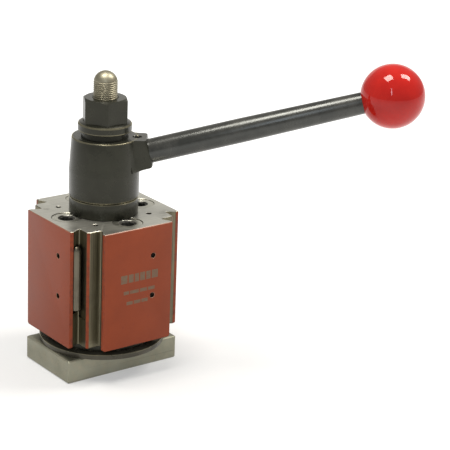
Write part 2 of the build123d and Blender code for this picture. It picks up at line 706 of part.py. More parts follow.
with BuildPart() as lever_hub:
    boss_height = HUB_TOP - HANDLE_CROSS_Z + BOSS_BELOW + BOSS_END
    with BuildSketch(handle_plane(BOSS_END)):
        with Locations((0, boss_height / 2 - BOSS_BELOW)):
            Rectangle(BOSS_WIDTH, boss_height)
    extrude(amount=-BOSS_END)
    with BuildSketch(Plane.XY.offset(HUB_TOP)):
        Circle(3 * HUB_R)
    extrude(amount=boss_height, mode=Mode.SUBTRACT)
    end_face = lever_hub.faces().sort_by(Axis(handle_plane(0).origin, handle_plane(0).z_dir))[-1]
    chamfer(end_face.edges(), BOSS_ROUND)
    with BuildSketch(Plane.XZ):
        with BuildLine():
            Polyline(
                (0, HUB_BOTTOM),
                (HUB_R - HUB_CHAMFER, HUB_BOTTOM),
                (HUB_R, HUB_BOTTOM + HUB_CHAMFER),
                (HUB_R, HUB_TAPER_START),
                (HUB_R_TOP, HUB_TOP - HUB_CHAMFER),
                (HUB_R_TOP - HUB_CHAMFER, HUB_TOP),
                (0, HUB_TOP),
                close=True,
            )
        make_face()
    revolve(axis=Axis.Z)
    with BuildSketch(Plane.XY.offset(bearing_top + AIR_GAP)):
        Circle(HUB_SKIRT_R)
    extrude(amount=HUB_BOTTOM - bearing_top - AIR_GAP)
    with BuildSketch(Plane.XY.offset(bearing_top)):
        Circle(SLEEVE_R + RUN_GAP)
    extrude(amount=HUB_TOP - bearing_top, mode=Mode.SUBTRACT)
    seal_groove_r = SLEEVE_R + RUN_GAP + 2 * HUB_SEAL_WIRE_R + PRESS_GAP
    with BuildSketch(Plane.XY.offset(HUB_SEAL_LEVEL - HUB_SEAL_WIRE_R - PRESS_GAP)):
        Circle(seal_groove_r)
    extrude(amount=2 * (HUB_SEAL_WIRE_R + PRESS_GAP), mode=Mode.SUBTRACT)
    with BuildSketch(handle_plane(HANDLE_START - PRESS_GAP)):
        Circle(HANDLE_R + PRESS_GAP)
    extrude(amount=BOSS_END, mode=Mode.SUBTRACT)
    with BuildSketch(Plane.XY.offset(HUB_TOP)):
        with Locations((screw_x, screw_y)):
            Circle(SET_SCREW_R + PRESS_GAP)
    extrude(amount=SET_SCREW_BOTTOM - PRESS_GAP - HUB_TOP, mode=Mode.SUBTRACT)

with BuildPart() as hub_seal:
    with BuildSketch(Plane.XZ):
        with Locations((SLEEVE_R + RUN_GAP + HUB_SEAL_WIRE_R, HUB_SEAL_LEVEL)):
            Circle(HUB_SEAL_WIRE_R)
    revolve(axis=Axis.Z)

with BuildPart() as handle_bar:
    with BuildSketch(handle_plane(HANDLE_START)):
        Circle(HANDLE_R)
    extrude(amount=HANDLE_TAPER_START - HANDLE_START)
    with BuildSketch(handle_plane(HANDLE_TAPER_START)):
        Circle(HANDLE_R)
    with BuildSketch(handle_plane(HANDLE_END)):
        Circle(HANDLE_R_END)
    loft()
    with BuildSketch(handle_plane(HANDLE_END)):
        Circle(HANDLE_STUD_R)
    extrude(amount=HANDLE_STUD_END - HANDLE_END)
    with BuildSketch(Plane.XY.offset(SET_SCREW_BOTTOM - PRESS_GAP)):
        with Locations((screw_x, screw_y)):
            Circle(SET_SCREW_R + PRESS_GAP)
    extrude(amount=SET_SCREW_TOP - SET_SCREW_BOTTOM, mode=Mode.SUBTRACT)

with BuildPart() as handle_set_screw:
    with BuildSketch(Plane.XY.offset(SET_SCREW_BOTTOM)):
        with Locations((screw_x, screw_y)):
            Circle(SET_SCREW_R)
    extrude(amount=SET_SCREW_TOP - SET_SCREW_BOTTOM)
    with BuildSketch(Plane.XY.offset(SET_SCREW_TOP)):
        with Locations((screw_x, screw_y)):
            RegularPolygon(SET_SCREW_SOCKET_AF / 2, 6, major_radius=False)
    extrude(amount=-SMALL_SOCKET_DEPTH, mode=Mode.SUBTRACT)

with BuildPart() as ball_knob:
    with Locations(handle_plane(BALL_CENTRE).location):
        Sphere(BALL_R)
    with BuildSketch(handle_plane(HANDLE_END + PRESS_GAP)):
        Circle(HANDLE_R_END + 2 * PRESS_GAP)
    extrude(amount=-BALL_R, mode=Mode.SUBTRACT)
    with BuildSketch(handle_plane(HANDLE_END)):
        Circle(INSERT_R + PRESS_GAP)
    extrude(amount=INSERT_END + PRESS_GAP - HANDLE_END, mode=Mode.SUBTRACT)

with BuildPart() as knob_insert:
    with BuildSketch(handle_plane(HANDLE_END + PRESS_GAP)):
        Circle(INSERT_R)
        Circle(HANDLE_STUD_R + PRESS_GAP, mode=Mode.SUBTRACT)
    extrude(amount=INSERT_END - HANDLE_END - PRESS_GAP)

# ------------------------------------------------------------------- export
pieces = {
    "t_nut_blank": t_nut_blank,
    "centre_stud": centre_stud,
    "base_disc": base_disc,
    "disc_dowels": disc_dowels,
    "clamp_sleeve": clamp_sleeve,
    "flange_nut": flange_nut,
    "lift_spring": lift_spring,
    "thrust_washer_lower": thrust_washer_lower,
    "needle_rollers": needle_rollers,
    "needle_cage": needle_cage,
    "thrust_washer_upper": thrust_washer_upper,
    "post_body": post_body,
    "index_ring": index_ring,
    "ring_screws": ring_screws,
    "lower_bush": lower_bush,
    "upper_bush": upper_bush,
    "retaining_collar": retaining_collar,
    "collar_screw": collar_screw,
    "top_plugs": top_plugs,
    "face_screws": face_screws,
    "index_plunger": index_plunger,
    "plunger_spring": plunger_spring,
    "lever_hub": lever_hub,
    "hub_seal": hub_seal,
    "handle_bar": handle_bar,
    "handle_set_screw": handle_set_screw,
    "ball_knob": ball_knob,
    "knob_insert": knob_insert,
    **cam_parts,
}

os.makedirs("parts", exist_ok=True)
for name, piece in pieces.items():
    piece.part.label = name
    export_step(piece.part, f"parts/{name}.step")
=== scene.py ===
import json
import math

import bmesh
import bpy
from mathutils import Matrix, Vector


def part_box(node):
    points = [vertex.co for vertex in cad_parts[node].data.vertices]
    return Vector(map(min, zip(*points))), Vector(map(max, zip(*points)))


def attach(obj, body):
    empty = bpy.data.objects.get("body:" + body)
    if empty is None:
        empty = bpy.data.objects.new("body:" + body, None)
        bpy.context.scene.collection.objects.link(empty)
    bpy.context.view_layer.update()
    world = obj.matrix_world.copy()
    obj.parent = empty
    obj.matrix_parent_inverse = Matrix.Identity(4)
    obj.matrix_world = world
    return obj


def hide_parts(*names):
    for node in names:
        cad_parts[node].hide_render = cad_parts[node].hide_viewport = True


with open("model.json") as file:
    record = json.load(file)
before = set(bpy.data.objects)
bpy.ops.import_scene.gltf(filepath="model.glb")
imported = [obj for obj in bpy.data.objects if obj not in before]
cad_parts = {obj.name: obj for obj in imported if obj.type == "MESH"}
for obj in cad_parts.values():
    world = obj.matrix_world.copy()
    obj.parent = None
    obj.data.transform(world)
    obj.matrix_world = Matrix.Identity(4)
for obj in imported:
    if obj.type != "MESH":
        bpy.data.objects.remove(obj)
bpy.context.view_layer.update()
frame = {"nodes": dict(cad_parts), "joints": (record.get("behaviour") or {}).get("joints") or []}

# ---------------------------------------------------------------- the studio
# A white sweep of paper that glows, less near the tool so that a painted shadow lies round its foot.  Two
# window lights hang above it, with a broad panel behind and a narrow strip over the lens.
MM = 0.001
PAPER_SIZE = 14.0
PAPER_WHITE = (0.45, 0.45, 0.45, 1.0)
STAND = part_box("t_nut_blank")[0].z
# the paper glows less near the tool: a painted shadow round its foot
PAINTED_SHADOW_REACH = (0.05, 0.45)
PAPER_GLOW_SHADED_AND_FULL = (0.36, 0.80)
AIR_COLOUR = (0.95, 0.95, 0.92, 1.0)
AIR_STRENGTH = 0.42
SPIGOT_HEIGHT = 6.2 * MM
WARM = (1.0, 0.965, 0.90)
COOL = (0.80, 0.88, 1.0)

bpy.context.scene.view_settings.view_transform = "Standard"

paper_mesh = bpy.data.meshes.new("paper_floor")
half = PAPER_SIZE / 2
paper_mesh.from_pydata(
    [(-half, -half, STAND), (half, -half, STAND), (half, half, STAND), (-half, half, STAND)],
    [],
    [(0, 1, 2, 3)],
)
paper = bpy.data.objects.new("paper_floor", paper_mesh)
bpy.context.scene.collection.objects.link(paper)

paper_look = bpy.data.materials.new("white_paper")
paper_look.use_nodes = True
paper_shader = paper_look.node_tree.nodes["Principled BSDF"]
paper_shader.inputs["Base Color"].default_value = PAPER_WHITE
paper_shader.inputs["Roughness"].default_value = 0.9
paper_shader.inputs["Specular IOR Level"].default_value = 0.1
paper_shader.inputs["Emission Color"].default_value = (1.0, 1.0, 1.0, 1.0)
paper_links = paper_look.node_tree.links
# the glow rises with distance from the tool's axis, painting a soft shadow round the tool
paper_place = paper_look.node_tree.nodes.new("ShaderNodeTexCoord")
paper_reach = paper_look.node_tree.nodes.new("ShaderNodeVectorMath")
paper_reach.operation = "LENGTH"
paper_glow_and_painted_shadow = paper_look.node_tree.nodes.new("ShaderNodeMapRange")
paper_glow_and_painted_shadow.interpolation_type = "SMOOTHSTEP"
for socket, value in zip(paper_glow_and_painted_shadow.inputs[1:5], PAINTED_SHADOW_REACH + PAPER_GLOW_SHADED_AND_FULL):
    socket.default_value = value
paper_links.new(paper_place.outputs["Object"], paper_reach.inputs[0])
paper_links.new(paper_reach.outputs["Value"], paper_glow_and_painted_shadow.inputs["Value"])
paper_links.new(paper_glow_and_painted_shadow.outputs["Result"], paper_shader.inputs["Emission Strength"])
paper_mesh.materials.append(paper_look)

world = bpy.data.worlds.new("studio_air")
bpy.context.scene.world = world
world.use_nodes = True
air = world.node_tree.nodes["Background"]
air.inputs["Color"].default_value = AIR_COLOUR
air.inputs["Strength"].default_value = AIR_STRENGTH


def soft_box(name, place, aim, width, height, power, colour):
    """Rectangular soft light at a place, turned towards a point."""
    data = bpy.data.lights.new(name, "AREA")
    data.shape = "RECTANGLE"
    data.size = width
    data.size_y = height
    data.energy = power
    data.color = colour
    lamp = bpy.data.objects.new(name, data)
    lamp.location = place
    lamp.rotation_euler = (Vector(aim) - Vector(place)).to_track_quat("-Z", "Y").to_euler()
    bpy.context.scene.collection.objects.link(lamp)
    return lamp


middle = (0.0, 0.0, 0.12)
knob = (0.177, -0.136, 0.230)
soft_box("window_left", (-0.26, 0.00, 1.76), knob, width=0.6, height=0.6, power=25, colour=WARM)
soft_box("window_right", (0.97, -0.45, 1.58), knob, width=0.45, height=0.7, power=20, colour=WARM)
soft_box("back_panel", (1.35, 1.75, 0.62), middle, width=2.4, height=1.0, power=4, colour=WARM)
soft_box("strip_above_lens", (-0.76, -0.98, 0.95), middle, width=0.1, height=0.6, power=2, colour=COOL)

# The camera looks down a little from the corner of the post that holds the
# nearest clamping bar, through a long lens, with the tool left of the middle.
SENSOR_MM = 36.0
LENS_MM = 144.58
CAMERA_TURN = -37.45
CAMERA_RISE = 19.26
CAMERA_ROLL = 2.29
CAMERA_DISTANCE = 1.4402
AIM_RIGHT = 0.0970
AIM_BELOW_TOP = 0.0084

turn = math.radians(CAMERA_TURN)
rise = math.radians(CAMERA_RISE)
roll = math.radians(CAMERA_ROLL)
backward = Vector(
    (math.sin(turn) * math.cos(rise), -math.cos(turn) * math.cos(rise), math.sin(rise))
)
right = Vector((math.cos(turn), math.sin(turn), 0.0))
upward = backward.cross(right)
camera_x = right * math.cos(roll) + upward * math.sin(roll)
camera_y = upward * math.cos(roll) - right * math.sin(roll)
body_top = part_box("post_body")[1].z - SPIGOT_HEIGHT
aim = right * AIM_RIGHT + Vector((0.0, 0.0, body_top - AIM_BELOW_TOP))
lens = bpy.data.cameras.new("long_lens")
lens.sensor_width = SENSOR_MM
lens.lens = LENS_MM
lens.clip_end = 40.0
camera = bpy.data.objects.new("camera", lens)
camera.matrix_world = Matrix.Translation(aim + backward * CAMERA_DISTANCE) @ Matrix(
    (camera_x, camera_y, backward)
).transposed().to_4x4()
bpy.context.scene.collection.objects.link(camera)
bpy.context.scene.camera = camera

# ------------------------------------------------------------- T-nut blank
# A rectangular block of mild steel, sawn from bar, wire brushed and left for
# its buyer to mill to the lathe's T-slot.  The stud screws into its middle.
BLANK_EDGE = 0.9 * MM
SHARP_ANGLE = 28.0


def keep_mesh(name, mesh, body, slot, *nodes):
    """Makes a piece from a finished mesh and fastens it to its CAD body."""
    for face in mesh.polygons:
        face.use_smooth = True
    mesh.set_sharp_from_angle(angle=math.radians(SHARP_ANGLE))
    piece = bpy.data.objects.new(name, mesh)
    bpy.context.scene.collection.objects.link(piece)
    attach(piece, body)
    if nodes:
        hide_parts(*nodes)
    return piece


def solid(name, points, faces):
    """Mesh from points and faces, with its doubled points joined."""
    mesh = bpy.data.meshes.new(name)
    mesh.from_pydata(points, [], faces)
    shell = bmesh.new()
    shell.from_mesh(mesh)
    bmesh.ops.remove_doubles(shell, verts=shell.verts, dist=1e-7)
    bmesh.ops.dissolve_degenerate(shell, edges=shell.edges, dist=1e-8)
    bmesh.ops.recalc_face_normals(shell, faces=shell.faces)
    shell.to_mesh(mesh)
    shell.free()
    return mesh


def round_corners(outline, radius, steps=3):
    """Replaces each corner of a closed outline by a short arc."""
    radii = radius if isinstance(radius, list) else [radius] * len(outline)
    rounded = []
    for i, corner in enumerate(outline):
        here = Vector(corner)
        before = Vector(outline[i - 1])
        after = Vector(outline[(i + 1) % len(outline)])
        if radii[i] <= 0:
            rounded.append(tuple(here))
            continue
        into = (before - here).normalized()
        out = (after - here).normalized()
        angle = into.angle(out)
        reach = radii[i] / math.tan(angle / 2)
        reach = min(reach, 0.48 * (before - here).length, 0.48 * (after - here).length)
        start = here + into * reach
        end = here + out * reach
        for step in range(steps + 1):
            t = step / steps
            point = start * (1 - t) ** 2 + here * 2 * t * (1 - t) + end * t * t
            rounded.append(tuple(point))
    return rounded


def stack(name, rings):
    """Closed solid through a stack of outlines, each an outline and a height."""
    points = [(x, y, z) for outline, z in rings for x, y in outline]
    count = len(rings[0][0])
    faces = [tuple(range(count))[::-1]]
    for level in range(len(rings) - 1):
        low = level * count
        for i in range(count):
            j = (i + 1) % count
            faces.append((low + i, low + j, low + count + j, low + count + i))
    faces.append(tuple(range(len(points) - count, len(points))))
    return solid(name, points, faces)


def inset(outline, distance):
    """Outline moved inwards by one distance, or by one distance for each edge."""
    count = len(outline)
    depths = distance if isinstance(distance, list) else [distance] * count
    moved = []
    for i, corner in enumerate(outline):
        here = Vector(corner)
        into = (here - Vector(outline[i - 1])).normalized()
        out = (Vector(outline[(i + 1) % count]) - here).normalized()
        cross = into.x * out.y - into.y * out.x
        step = (out * depths[i - 1] - into * depths[i]) / cross
        moved.append(tuple(here + step))
    return moved


def new_look(name):
    look = bpy.data.materials.new(name)
    look.use_nodes = True
    return look


def add(look, kind, **values):
    """Adds a shader node; a value goes to its setting or its socket."""
    node = look.node_tree.nodes.new("ShaderNode" + kind)
    for key, value in values.items():
        if hasattr(node, key):
            setattr(node, key, value)
        elif isinstance(value, bpy.types.NodeSocket):
            look.node_tree.links.new(value, node.inputs[key.replace("_", " ")])
        else:
            node.inputs[key.replace("_", " ")].default_value = value
    return node


def surface(look, **values):
    """Sets or links sockets of the look's main shader."""
    shader = look.node_tree.nodes["Principled BSDF"]
    for key, value in values.items():
        socket = shader.inputs[key.replace("_", " ")]
        if isinstance(value, bpy.types.NodeSocket):
            look.node_tree.links.new(value, socket)
        else:
            socket.default_value = value


def position(look, stretch=(1.0, 1.0, 1.0), shift=(0.0, 0.0, 0.0)):
    """Place on the piece in metres, stretched for directional patterns."""
    place = add(look, "TexCoord").outputs["Object"]
    return add(look, "Mapping", Vector=place, Scale=stretch, Location=shift).outputs["Vector"]


def noise(look, place, scale, detail=4.0, roughness=0.55):
    pattern = add(look, "TexNoise", Vector=place, Scale=scale, Detail=detail, Roughness=roughness)
    return pattern.outputs["Fac"]


def spread(look, value, low, high, to_low=0.0, to_high=1.0):
    """Stretches a band of a pattern to a new range."""
    band = add(look, "MapRange")
    look.node_tree.links.new(value, band.inputs["Value"])
    band.inputs["From Min"].default_value = low
    band.inputs["From Max"].default_value = high
    band.inputs["To Min"].default_value = to_low
    band.inputs["To Max"].default_value = to_high
    return band.outputs["Result"]


def blend_colours(look, share, first, second):
    mix = add(look, "Mix", data_type="RGBA")
    look.node_tree.links.new(share, mix.inputs["Factor"])
    for socket, colour in ((mix.inputs[6], first), (mix.inputs[7], second)):
        if isinstance(colour, bpy.types.NodeSocket):
            look.node_tree.links.new(colour, socket)
        else:
            socket.default_value = (*colour, 1.0)
    return mix.outputs[2]


def grade(look, pattern, low, high, first, second):
    """Colour that turns from one to another over a band of a pattern."""
    return blend_colours(look, spread(look, pattern, low, high), first, second)


def coordinates(look):
    """The x, y and z of a place on the piece, in metres."""
    place = add(look, "TexCoord").outputs["Object"]
    parts = add(look, "SeparateXYZ", Vector=place)
    return [parts.outputs[axis] for axis in "XYZ"]


def combine(look, operation, first, second=0.0):
    """One step of arithmetic on patterns or numbers."""
    step = add(look, "Math", operation=operation)
    for socket, value in zip(step.inputs, (first, second)):
        if isinstance(value, bpy.types.NodeSocket):
            look.node_tree.links.new(value, socket)
        else:
            socket.default_value = value
    return step.outputs[0]


def relief(look, height, depth, strength=1.0, under=None):
    """Bump of a depth in metres, over another bump if one is given."""
    bump = add(look, "Bump", Height=height, Distance=depth, Strength=strength)
    if under is not None:
        look.node_tree.links.new(under, bump.inputs["Normal"])
    return bump.outputs["Normal"]


def brushed_blank_look():
    look = new_look("wire_brushed_steel")
    patches = noise(look, position(look), 38.0, 5.0)
    mottle = noise(look, position(look, shift=(3.0, 1.0, 2.0)), 190.0, 6.0, 0.65)
    along = noise(look, position(look, (14.0, 900.0, 900.0)), 1.0, 3.0)
    colour = grade(look, patches, 0.35, 0.65, (0.32, 0.315, 0.245), (0.27, 0.265, 0.20))
    colour = grade(look, mottle, 0.45, 0.75, colour, (0.34, 0.31, 0.23))
    colour = grade(look, along, 0.60, 0.78, colour, (0.16, 0.15, 0.12))
    normal = relief(look, along, 0.05 * MM, 0.5)
    normal = relief(look, mottle, 0.06 * MM, 0.5, normal)
    surface(
        look,
        Base_Color=colour,
        Metallic=0.75,
        Roughness=spread(look, patches, 0.3, 0.7, 0.42, 0.58),
        Normal=normal,
    )
    return look


low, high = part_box("t_nut_blank")
blank_outline = [(low.x, low.y), (high.x, low.y), (high.x, high.y), (low.x, high.y)]
inner = round_corners(inset(blank_outline, BLANK_EDGE), 0.5 * MM)
outer = round_corners(blank_outline, 1.1 * MM)
blank_mesh = stack(
    "t_nut_blank_bar",
    [(inner, low.z), (outer, low.z + BLANK_EDGE), (outer, high.z - BLANK_EDGE), (inner, high.z)],
)
blank = keep_mesh("t_nut_blank_bar", blank_mesh, "base", "blank_steel", "t_nut_blank")
blank.data.materials.append(brushed_blank_look())

# --------------------------------------------------------- base disc, dowels
# A turned steel disc, oil blackened, with a ring of face keys and a ring of
# detent holes on top.  It is dowelled to the blank and clamped by the sleeve.
DISC_EDGE = 0.7 * MM
KEY_COUNT = 24
KEY_CHAMFER = 0.3 * MM
KEY_ROUND = 0.2 * MM
# colour of the bright worn specks and of the painted highlights on turned edges
WORN_AND_HIGHLIGHT_STEEL = (0.22, 0.20, 0.135)
OLIVE_SHEEN = (1.0, 0.98, 0.84, 1.0)


def lathe(name, outline, turns=144, centre=(0.0, 0.0)):
    """Solid of revolution about an upright axis, from a closed (r, z) outline."""
    points = []
    faces = []
    count = len(outline)
    for t in range(turns):
        a = 2 * math.pi * t / turns
        for r, z in outline:
            points.append((centre[0] + r * math.cos(a), centre[1] + r * math.sin(a), z))
    for t in range(turns):
        here, ahead = t * count, ((t + 1) % turns) * count
        for i in range(count):
            j = (i + 1) % count
            if outline[i][0] > 0 or outline[j][0] > 0:
                faces.append((here + i, ahead + i, ahead + j, here + j))
    return solid(name, points, faces)


def merge(mesh, *others):
    """Adds the shells of other meshes to a mesh."""
    shell = bmesh.new()
    for part in (mesh, *others):
        shell.from_mesh(part)
    shell.to_mesh(mesh)
    shell.free()
    for part in others:
        bpy.data.meshes.remove(part)
    return mesh


def combine_solids(mesh, operation, *others):
    """Boolean of a mesh with others, one after the other."""
    base = bpy.data.objects.new("work", mesh)
    bpy.context.scene.collection.objects.link(base)
    for other in others:
        tool = bpy.data.objects.new("tool", other)
        bpy.context.scene.collection.objects.link(tool)
        step = base.modifiers.new("step", "BOOLEAN")
        step.operation = operation
        step.solver = "EXACT"
        step.object = tool
        bpy.context.view_layer.update()
        result = bpy.data.meshes.new_from_object(
            base.evaluated_get(bpy.context.evaluated_depsgraph_get())
        )
        base.modifiers.clear()
        base.data = result
        bpy.data.objects.remove(tool)
        bpy.data.meshes.remove(other)
    result = base.data
    bpy.data.objects.remove(base)
    shell = bmesh.new()
    shell.from_mesh(result)
    bmesh.ops.remove_doubles(shell, verts=shell.verts, dist=2e-7)
    bmesh.ops.dissolve_degenerate(shell, edges=shell.edges, dist=1e-7)
    shell.to_mesh(result)
    shell.free()
    return result


def bar(radius, low_z, high_z, centre=(0.0, 0.0), edge=0.0, turns=48):
    """Round bar, with a small chamfer that widens it at its top end."""
    outline = [(0.0, low_z), (radius, low_z), (radius, high_z - edge)]
    if edge:
        outline.append((radius + edge, high_z))
    else:
        outline.append((radius, high_z))
    outline.append((0.0, high_z))
    return lathe("bar", outline, turns, centre)


def around(radius, degrees):
    a = math.radians(degrees)
    return (radius * math.cos(a), radius * math.sin(a))


def blackened_look(name, tint=(0.015, 0.015, 0.011), gloss=0.24, highlight_edges=()):
    """Oil blackened steel, finely turned, with bright worn specks and a painted highlight on given (r, z)
    edges.
    """
    look = new_look(name)
    x, y, z = coordinates(look)
    squares = [combine(look, "MULTIPLY", axis, axis) for axis in (x, y)]
    radius = combine(look, "SQRT", combine(look, "ADD", *squares))
    rings = add(look, "CombineXYZ", X=radius, Y=z)
    feed = noise(look, rings.outputs["Vector"], 1500.0, 2.0)
    wipe = noise(look, position(look), 55.0, 5.0, 0.6)
    grain = noise(look, position(look), 420.0, 4.0, 0.6)
    pale = tuple(1.7 * c for c in tint)
    colour = grade(look, wipe, 0.42, 0.72, tint, pale)
    colour = grade(look, feed, 0.60, 0.80, colour, pale)
    wear_and_highlight = spread(look, grain, 0.80, 0.95)
    # each given edge ring gets a painted highlight, a band of bright steel colour
    for edge_radius, edge_level in highlight_edges:
        out = combine(look, "ABSOLUTE", combine(look, "SUBTRACT", radius, edge_radius))
        up = combine(look, "ABSOLUTE", combine(look, "SUBTRACT", z, edge_level))
        edge_highlight = spread(look, combine(look, "MAXIMUM", out, up), 0.8 * MM, 0.4 * MM)
        edge_highlight = combine(look, "MULTIPLY", edge_highlight, spread(look, wipe, 0.35, 0.60, 0.25, 0.9))
        wear_and_highlight = combine(look, "MAXIMUM", wear_and_highlight, edge_highlight)
    colour = blend_colours(look, wear_and_highlight, colour, WORN_AND_HIGHLIGHT_STEEL)
    normal = relief(look, feed, 0.01 * MM, 0.20)
    normal = relief(look, grain, 0.005 * MM, 0.15, normal)
    surface(
        look,
        Base_Color=colour,
        Metallic=wear_and_highlight,
        Roughness=spread(look, wipe, 0.3, 0.75, gloss - 0.04, gloss + 0.10),
        Specular_IOR_Level=0.30,
        Specular_Tint=OLIVE_SHEEN,
        Normal=normal,
    )
    return look


low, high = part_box("base_disc")
KEY_HEIGHT = 1.0 * MM
key_r_in, key_r_out, key_half = 39.0 * MM, 43.4 * MM, 1.5 * MM
disc_top = high.z - KEY_HEIGHT
stud_hole = 9.6 * MM
disc_rim = [(stud_hole, low.z), (high.x, low.z), (high.x, disc_top), (stud_hole, disc_top)]
disc_mesh = lathe("base_disc_turned", round_corners(disc_rim, DISC_EDGE, 2), 192)
keys = []
for i in range(KEY_COUNT):
    a = 2 * math.pi * i / KEY_COUNT
    along, across = Vector((math.cos(a), math.sin(a))), Vector((-math.sin(a), math.cos(a)))
    corners = [
        tuple(along * r + across * w)
        for r, w in (
            (key_r_in, -key_half),
            (key_r_out, -key_half),
            (key_r_out, key_half),
            (key_r_in, key_half),
        )
    ]
    top = round_corners(inset(corners, KEY_CHAMFER), KEY_ROUND)
    foot = round_corners(corners, KEY_ROUND)
    sunk = disc_top - KEY_ROUND
    keys.append(stack("key", [(foot, sunk), (foot, high.z - KEY_CHAMFER), (top, high.z)]))
disc_mesh = merge(disc_mesh, *keys)
disc = keep_mesh("base_disc_turned", disc_mesh, "base", "black_oxide", "base_disc")
# the disc's top edge gets a painted highlight of bright steel
disc_highlight_edges = [(high.x, disc_top)]
disc_black = blackened_look("blackened_disc", (0.050, 0.045, 0.034), 0.26, disc_highlight_edges)
disc.data.materials.append(disc_black)


def finish_nodes(look, *names):
    """Gives CAD nodes that stay in view their finish."""
    for name in names:
        for place in frame["nodes"][name].material_slots:
            place.material = look


def ground_look(name, colour=(0.56, 0.55, 0.50), grain=(60.0, 1600.0, 1600.0), gloss=0.26):
    """Ground steel with fine lines; grain is the stretch of the line pattern."""
    look = new_look(name)
    lines = noise(look, position(look, grain), 1.0, 4.0, 0.7)
    stain = noise(look, position(look), 70.0, 4.0)
    dark = tuple(0.62 * c for c in colour)
    tone = grade(look, lines, 0.50, 0.80, colour, dark)
    tone = grade(look, stain, 0.55, 0.85, tone, dark)
    surface(
        look,
        Base_Color=tone,
        Metallic=1.0,
        Roughness=spread(look, stain, 0.3, 0.7, gloss, gloss + 0.12),
        Normal=relief(look, lines, 0.02 * MM, 0.35),
    )
    return look


ground_steel = ground_look("ground_steel")
finish_nodes(ground_steel, "disc_dowels")

# ---------------------------------------------------------------- index ring
# A hardened steel ring under the post, with slots that drop over the keys of
# the base disc.  Four socket screws hold it; it is oil blackened like the disc.
ring_black = blackened_look("blackened_ring")
finish_nodes(ring_black, "index_ring")


def plain_look(name, grain, band, colours, gloss, bump=None, stretch=(1, 1, 1), lines=None, **values):
    """Look of one pattern, given by its scale, detail and roughness.

    Its bump follows the same pattern, or fine lines of a stretch if one is given.
    """
    look = new_look(name)
    pattern = noise(look, position(look, stretch), *grain)
    tone = grade(look, pattern, *band, *colours)
    if bump:
        height = noise(look, position(look, lines), 1.0, 3.0) if lines else pattern
        values["Normal"] = relief(look, height, *bump)
    surface(look, Base_Color=tone, Roughness=spread(look, pattern, 0.3, 0.7, *gloss), **values)
    return look


screw_steel = plain_look(
    "dark_screw_steel",
    grain=(900.0, 4.0, 0.6),
    band=(0.45, 0.75),
    colours=((0.018, 0.018, 0.018), (0.07, 0.07, 0.06)),
    gloss=(0.32, 0.5),
    bump=(0.015 * MM, 0.4),
    Metallic=0.2,
    Specular_IOR_Level=0.3,
)
finish_nodes(screw_steel, "ring_screws")

# ------------------------------------------------------- springs and plunger
# A flat coil lifts the post off its keys.  A small coil presses the hardened
# plunger into the detent holes.  Both are drawn from hard spring wire.
spring_wire = plain_look(
    "drawn_spring_wire",
    grain=(1.0, 3.0),
    band=(0.4, 0.7),
    colours=((0.30, 0.29, 0.27), (0.14, 0.13, 0.12)),
    gloss=(0.24, 0.4),
    bump=(0.01 * MM, 0.4),
    stretch=(900.0, 900.0, 300.0),
    Metallic=1.0,
)
finish_nodes(spring_wire, "lift_spring", "plunger_spring")
finish_nodes(ground_steel, "index_plunger")

# -------------------------------------------------------------- clamp sleeve
# A thick turned steel sleeve that slips over the stud and that the post turns
# on.  The nut clamps it; only its blackened top end shows above the hub.
SLEEVE_EDGE = 0.6 * MM
SLEEVE_BORE = 9.825 * MM

low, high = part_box("clamp_sleeve")
sleeve_rim = [(SLEEVE_BORE, low.z), (high.x, low.z), (high.x, high.z), (SLEEVE_BORE, high.z)]
sleeve_mesh = lathe("clamp_sleeve_turned", round_corners(sleeve_rim, SLEEVE_EDGE, 2), 128)
sleeve = keep_mesh("clamp_sleeve_turned", sleeve_mesh, "base", "black_oxide", "clamp_sleeve")
sleeve.data.materials.append(blackened_look("blackened_sleeve"))

# --------------------------------------------------------------- centre stud
# A 3/4 inch steel stud with a rolled sixteen-to-the-inch thread at the top and
# a turned dome over its end.  It is left bright and passes through the sleeve.
THREAD_PITCH = 25.4 / 16 * MM
THREAD_DEPTH = 0.75 * MM
THREAD_START = 0.204
THREAD_SAMPLES = 10
THREAD_RUNOUT = 3.4 * MM
STUD_TURNS = 72
DOME_STEPS = 14
THREAD_SHARP_ANGLE = 80.0

low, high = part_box("centre_stud")
stud_radius = high.x
dome_base = high.z - stud_radius


def thread_radius(height, share_of_pitch):
    """Radius of the threaded stud; the thread runs out into the dome."""
    full = stud_radius
    if height > dome_base:
        full = math.sqrt(max(0.0, stud_radius**2 - (height - dome_base) ** 2))
    if height < THREAD_START:
        return full
    wave = abs(2 * share_of_pitch - 1)
    cut = min(1.0, max(0.0, (wave - 0.12) / 0.70))
    fade = min(1.0, (height - THREAD_START) / THREAD_PITCH)
    return min(full, stud_radius - THREAD_DEPTH * cut * fade)


stud_points = []


def stud_ring(height, cut=0.0):
    """Adds a level ring of points; gives the place of its first point."""
    for t in range(STUD_TURNS):
        x, y = around(thread_radius(height, 0.5) - cut, 360 * t / STUD_TURNS)
        stud_points.append((x, y, height))
    return len(stud_points) - STUD_TURNS


# the rows of the thread climb one pitch in each turn and meet at a seam
shank_rings = [stud_ring(low.z, 1.0 * MM), stud_ring(low.z + 1.0 * MM)]
shank_rings.append(stud_ring(THREAD_START - 0.1 * MM))
climb = dome_base + THREAD_RUNOUT - THREAD_START - THREAD_PITCH
thread_rows = round(climb / THREAD_PITCH * THREAD_SAMPLES)
first_row = len(stud_points)
for row in range(thread_rows + 1):
    for t in range(STUD_TURNS):
        z = THREAD_START + THREAD_PITCH * (row / THREAD_SAMPLES + t / STUD_TURNS)
        x, y = around(thread_radius(z, row / THREAD_SAMPLES % 1.0), 360 * t / STUD_TURNS)
        stud_points.append((x, y, z))
dome_start = math.asin((THREAD_RUNOUT + 0.1 * MM) / stud_radius)
dome_rings = [
    stud_ring(dome_base + stud_radius * math.sin(dome_start + (math.pi / 2 - dome_start) * i / DOME_STEPS))
    for i in range(DOME_STEPS)
]
stud_points.append((0.0, 0.0, high.z))


def on_thread(row, t):
    return first_row + row * STUD_TURNS + t


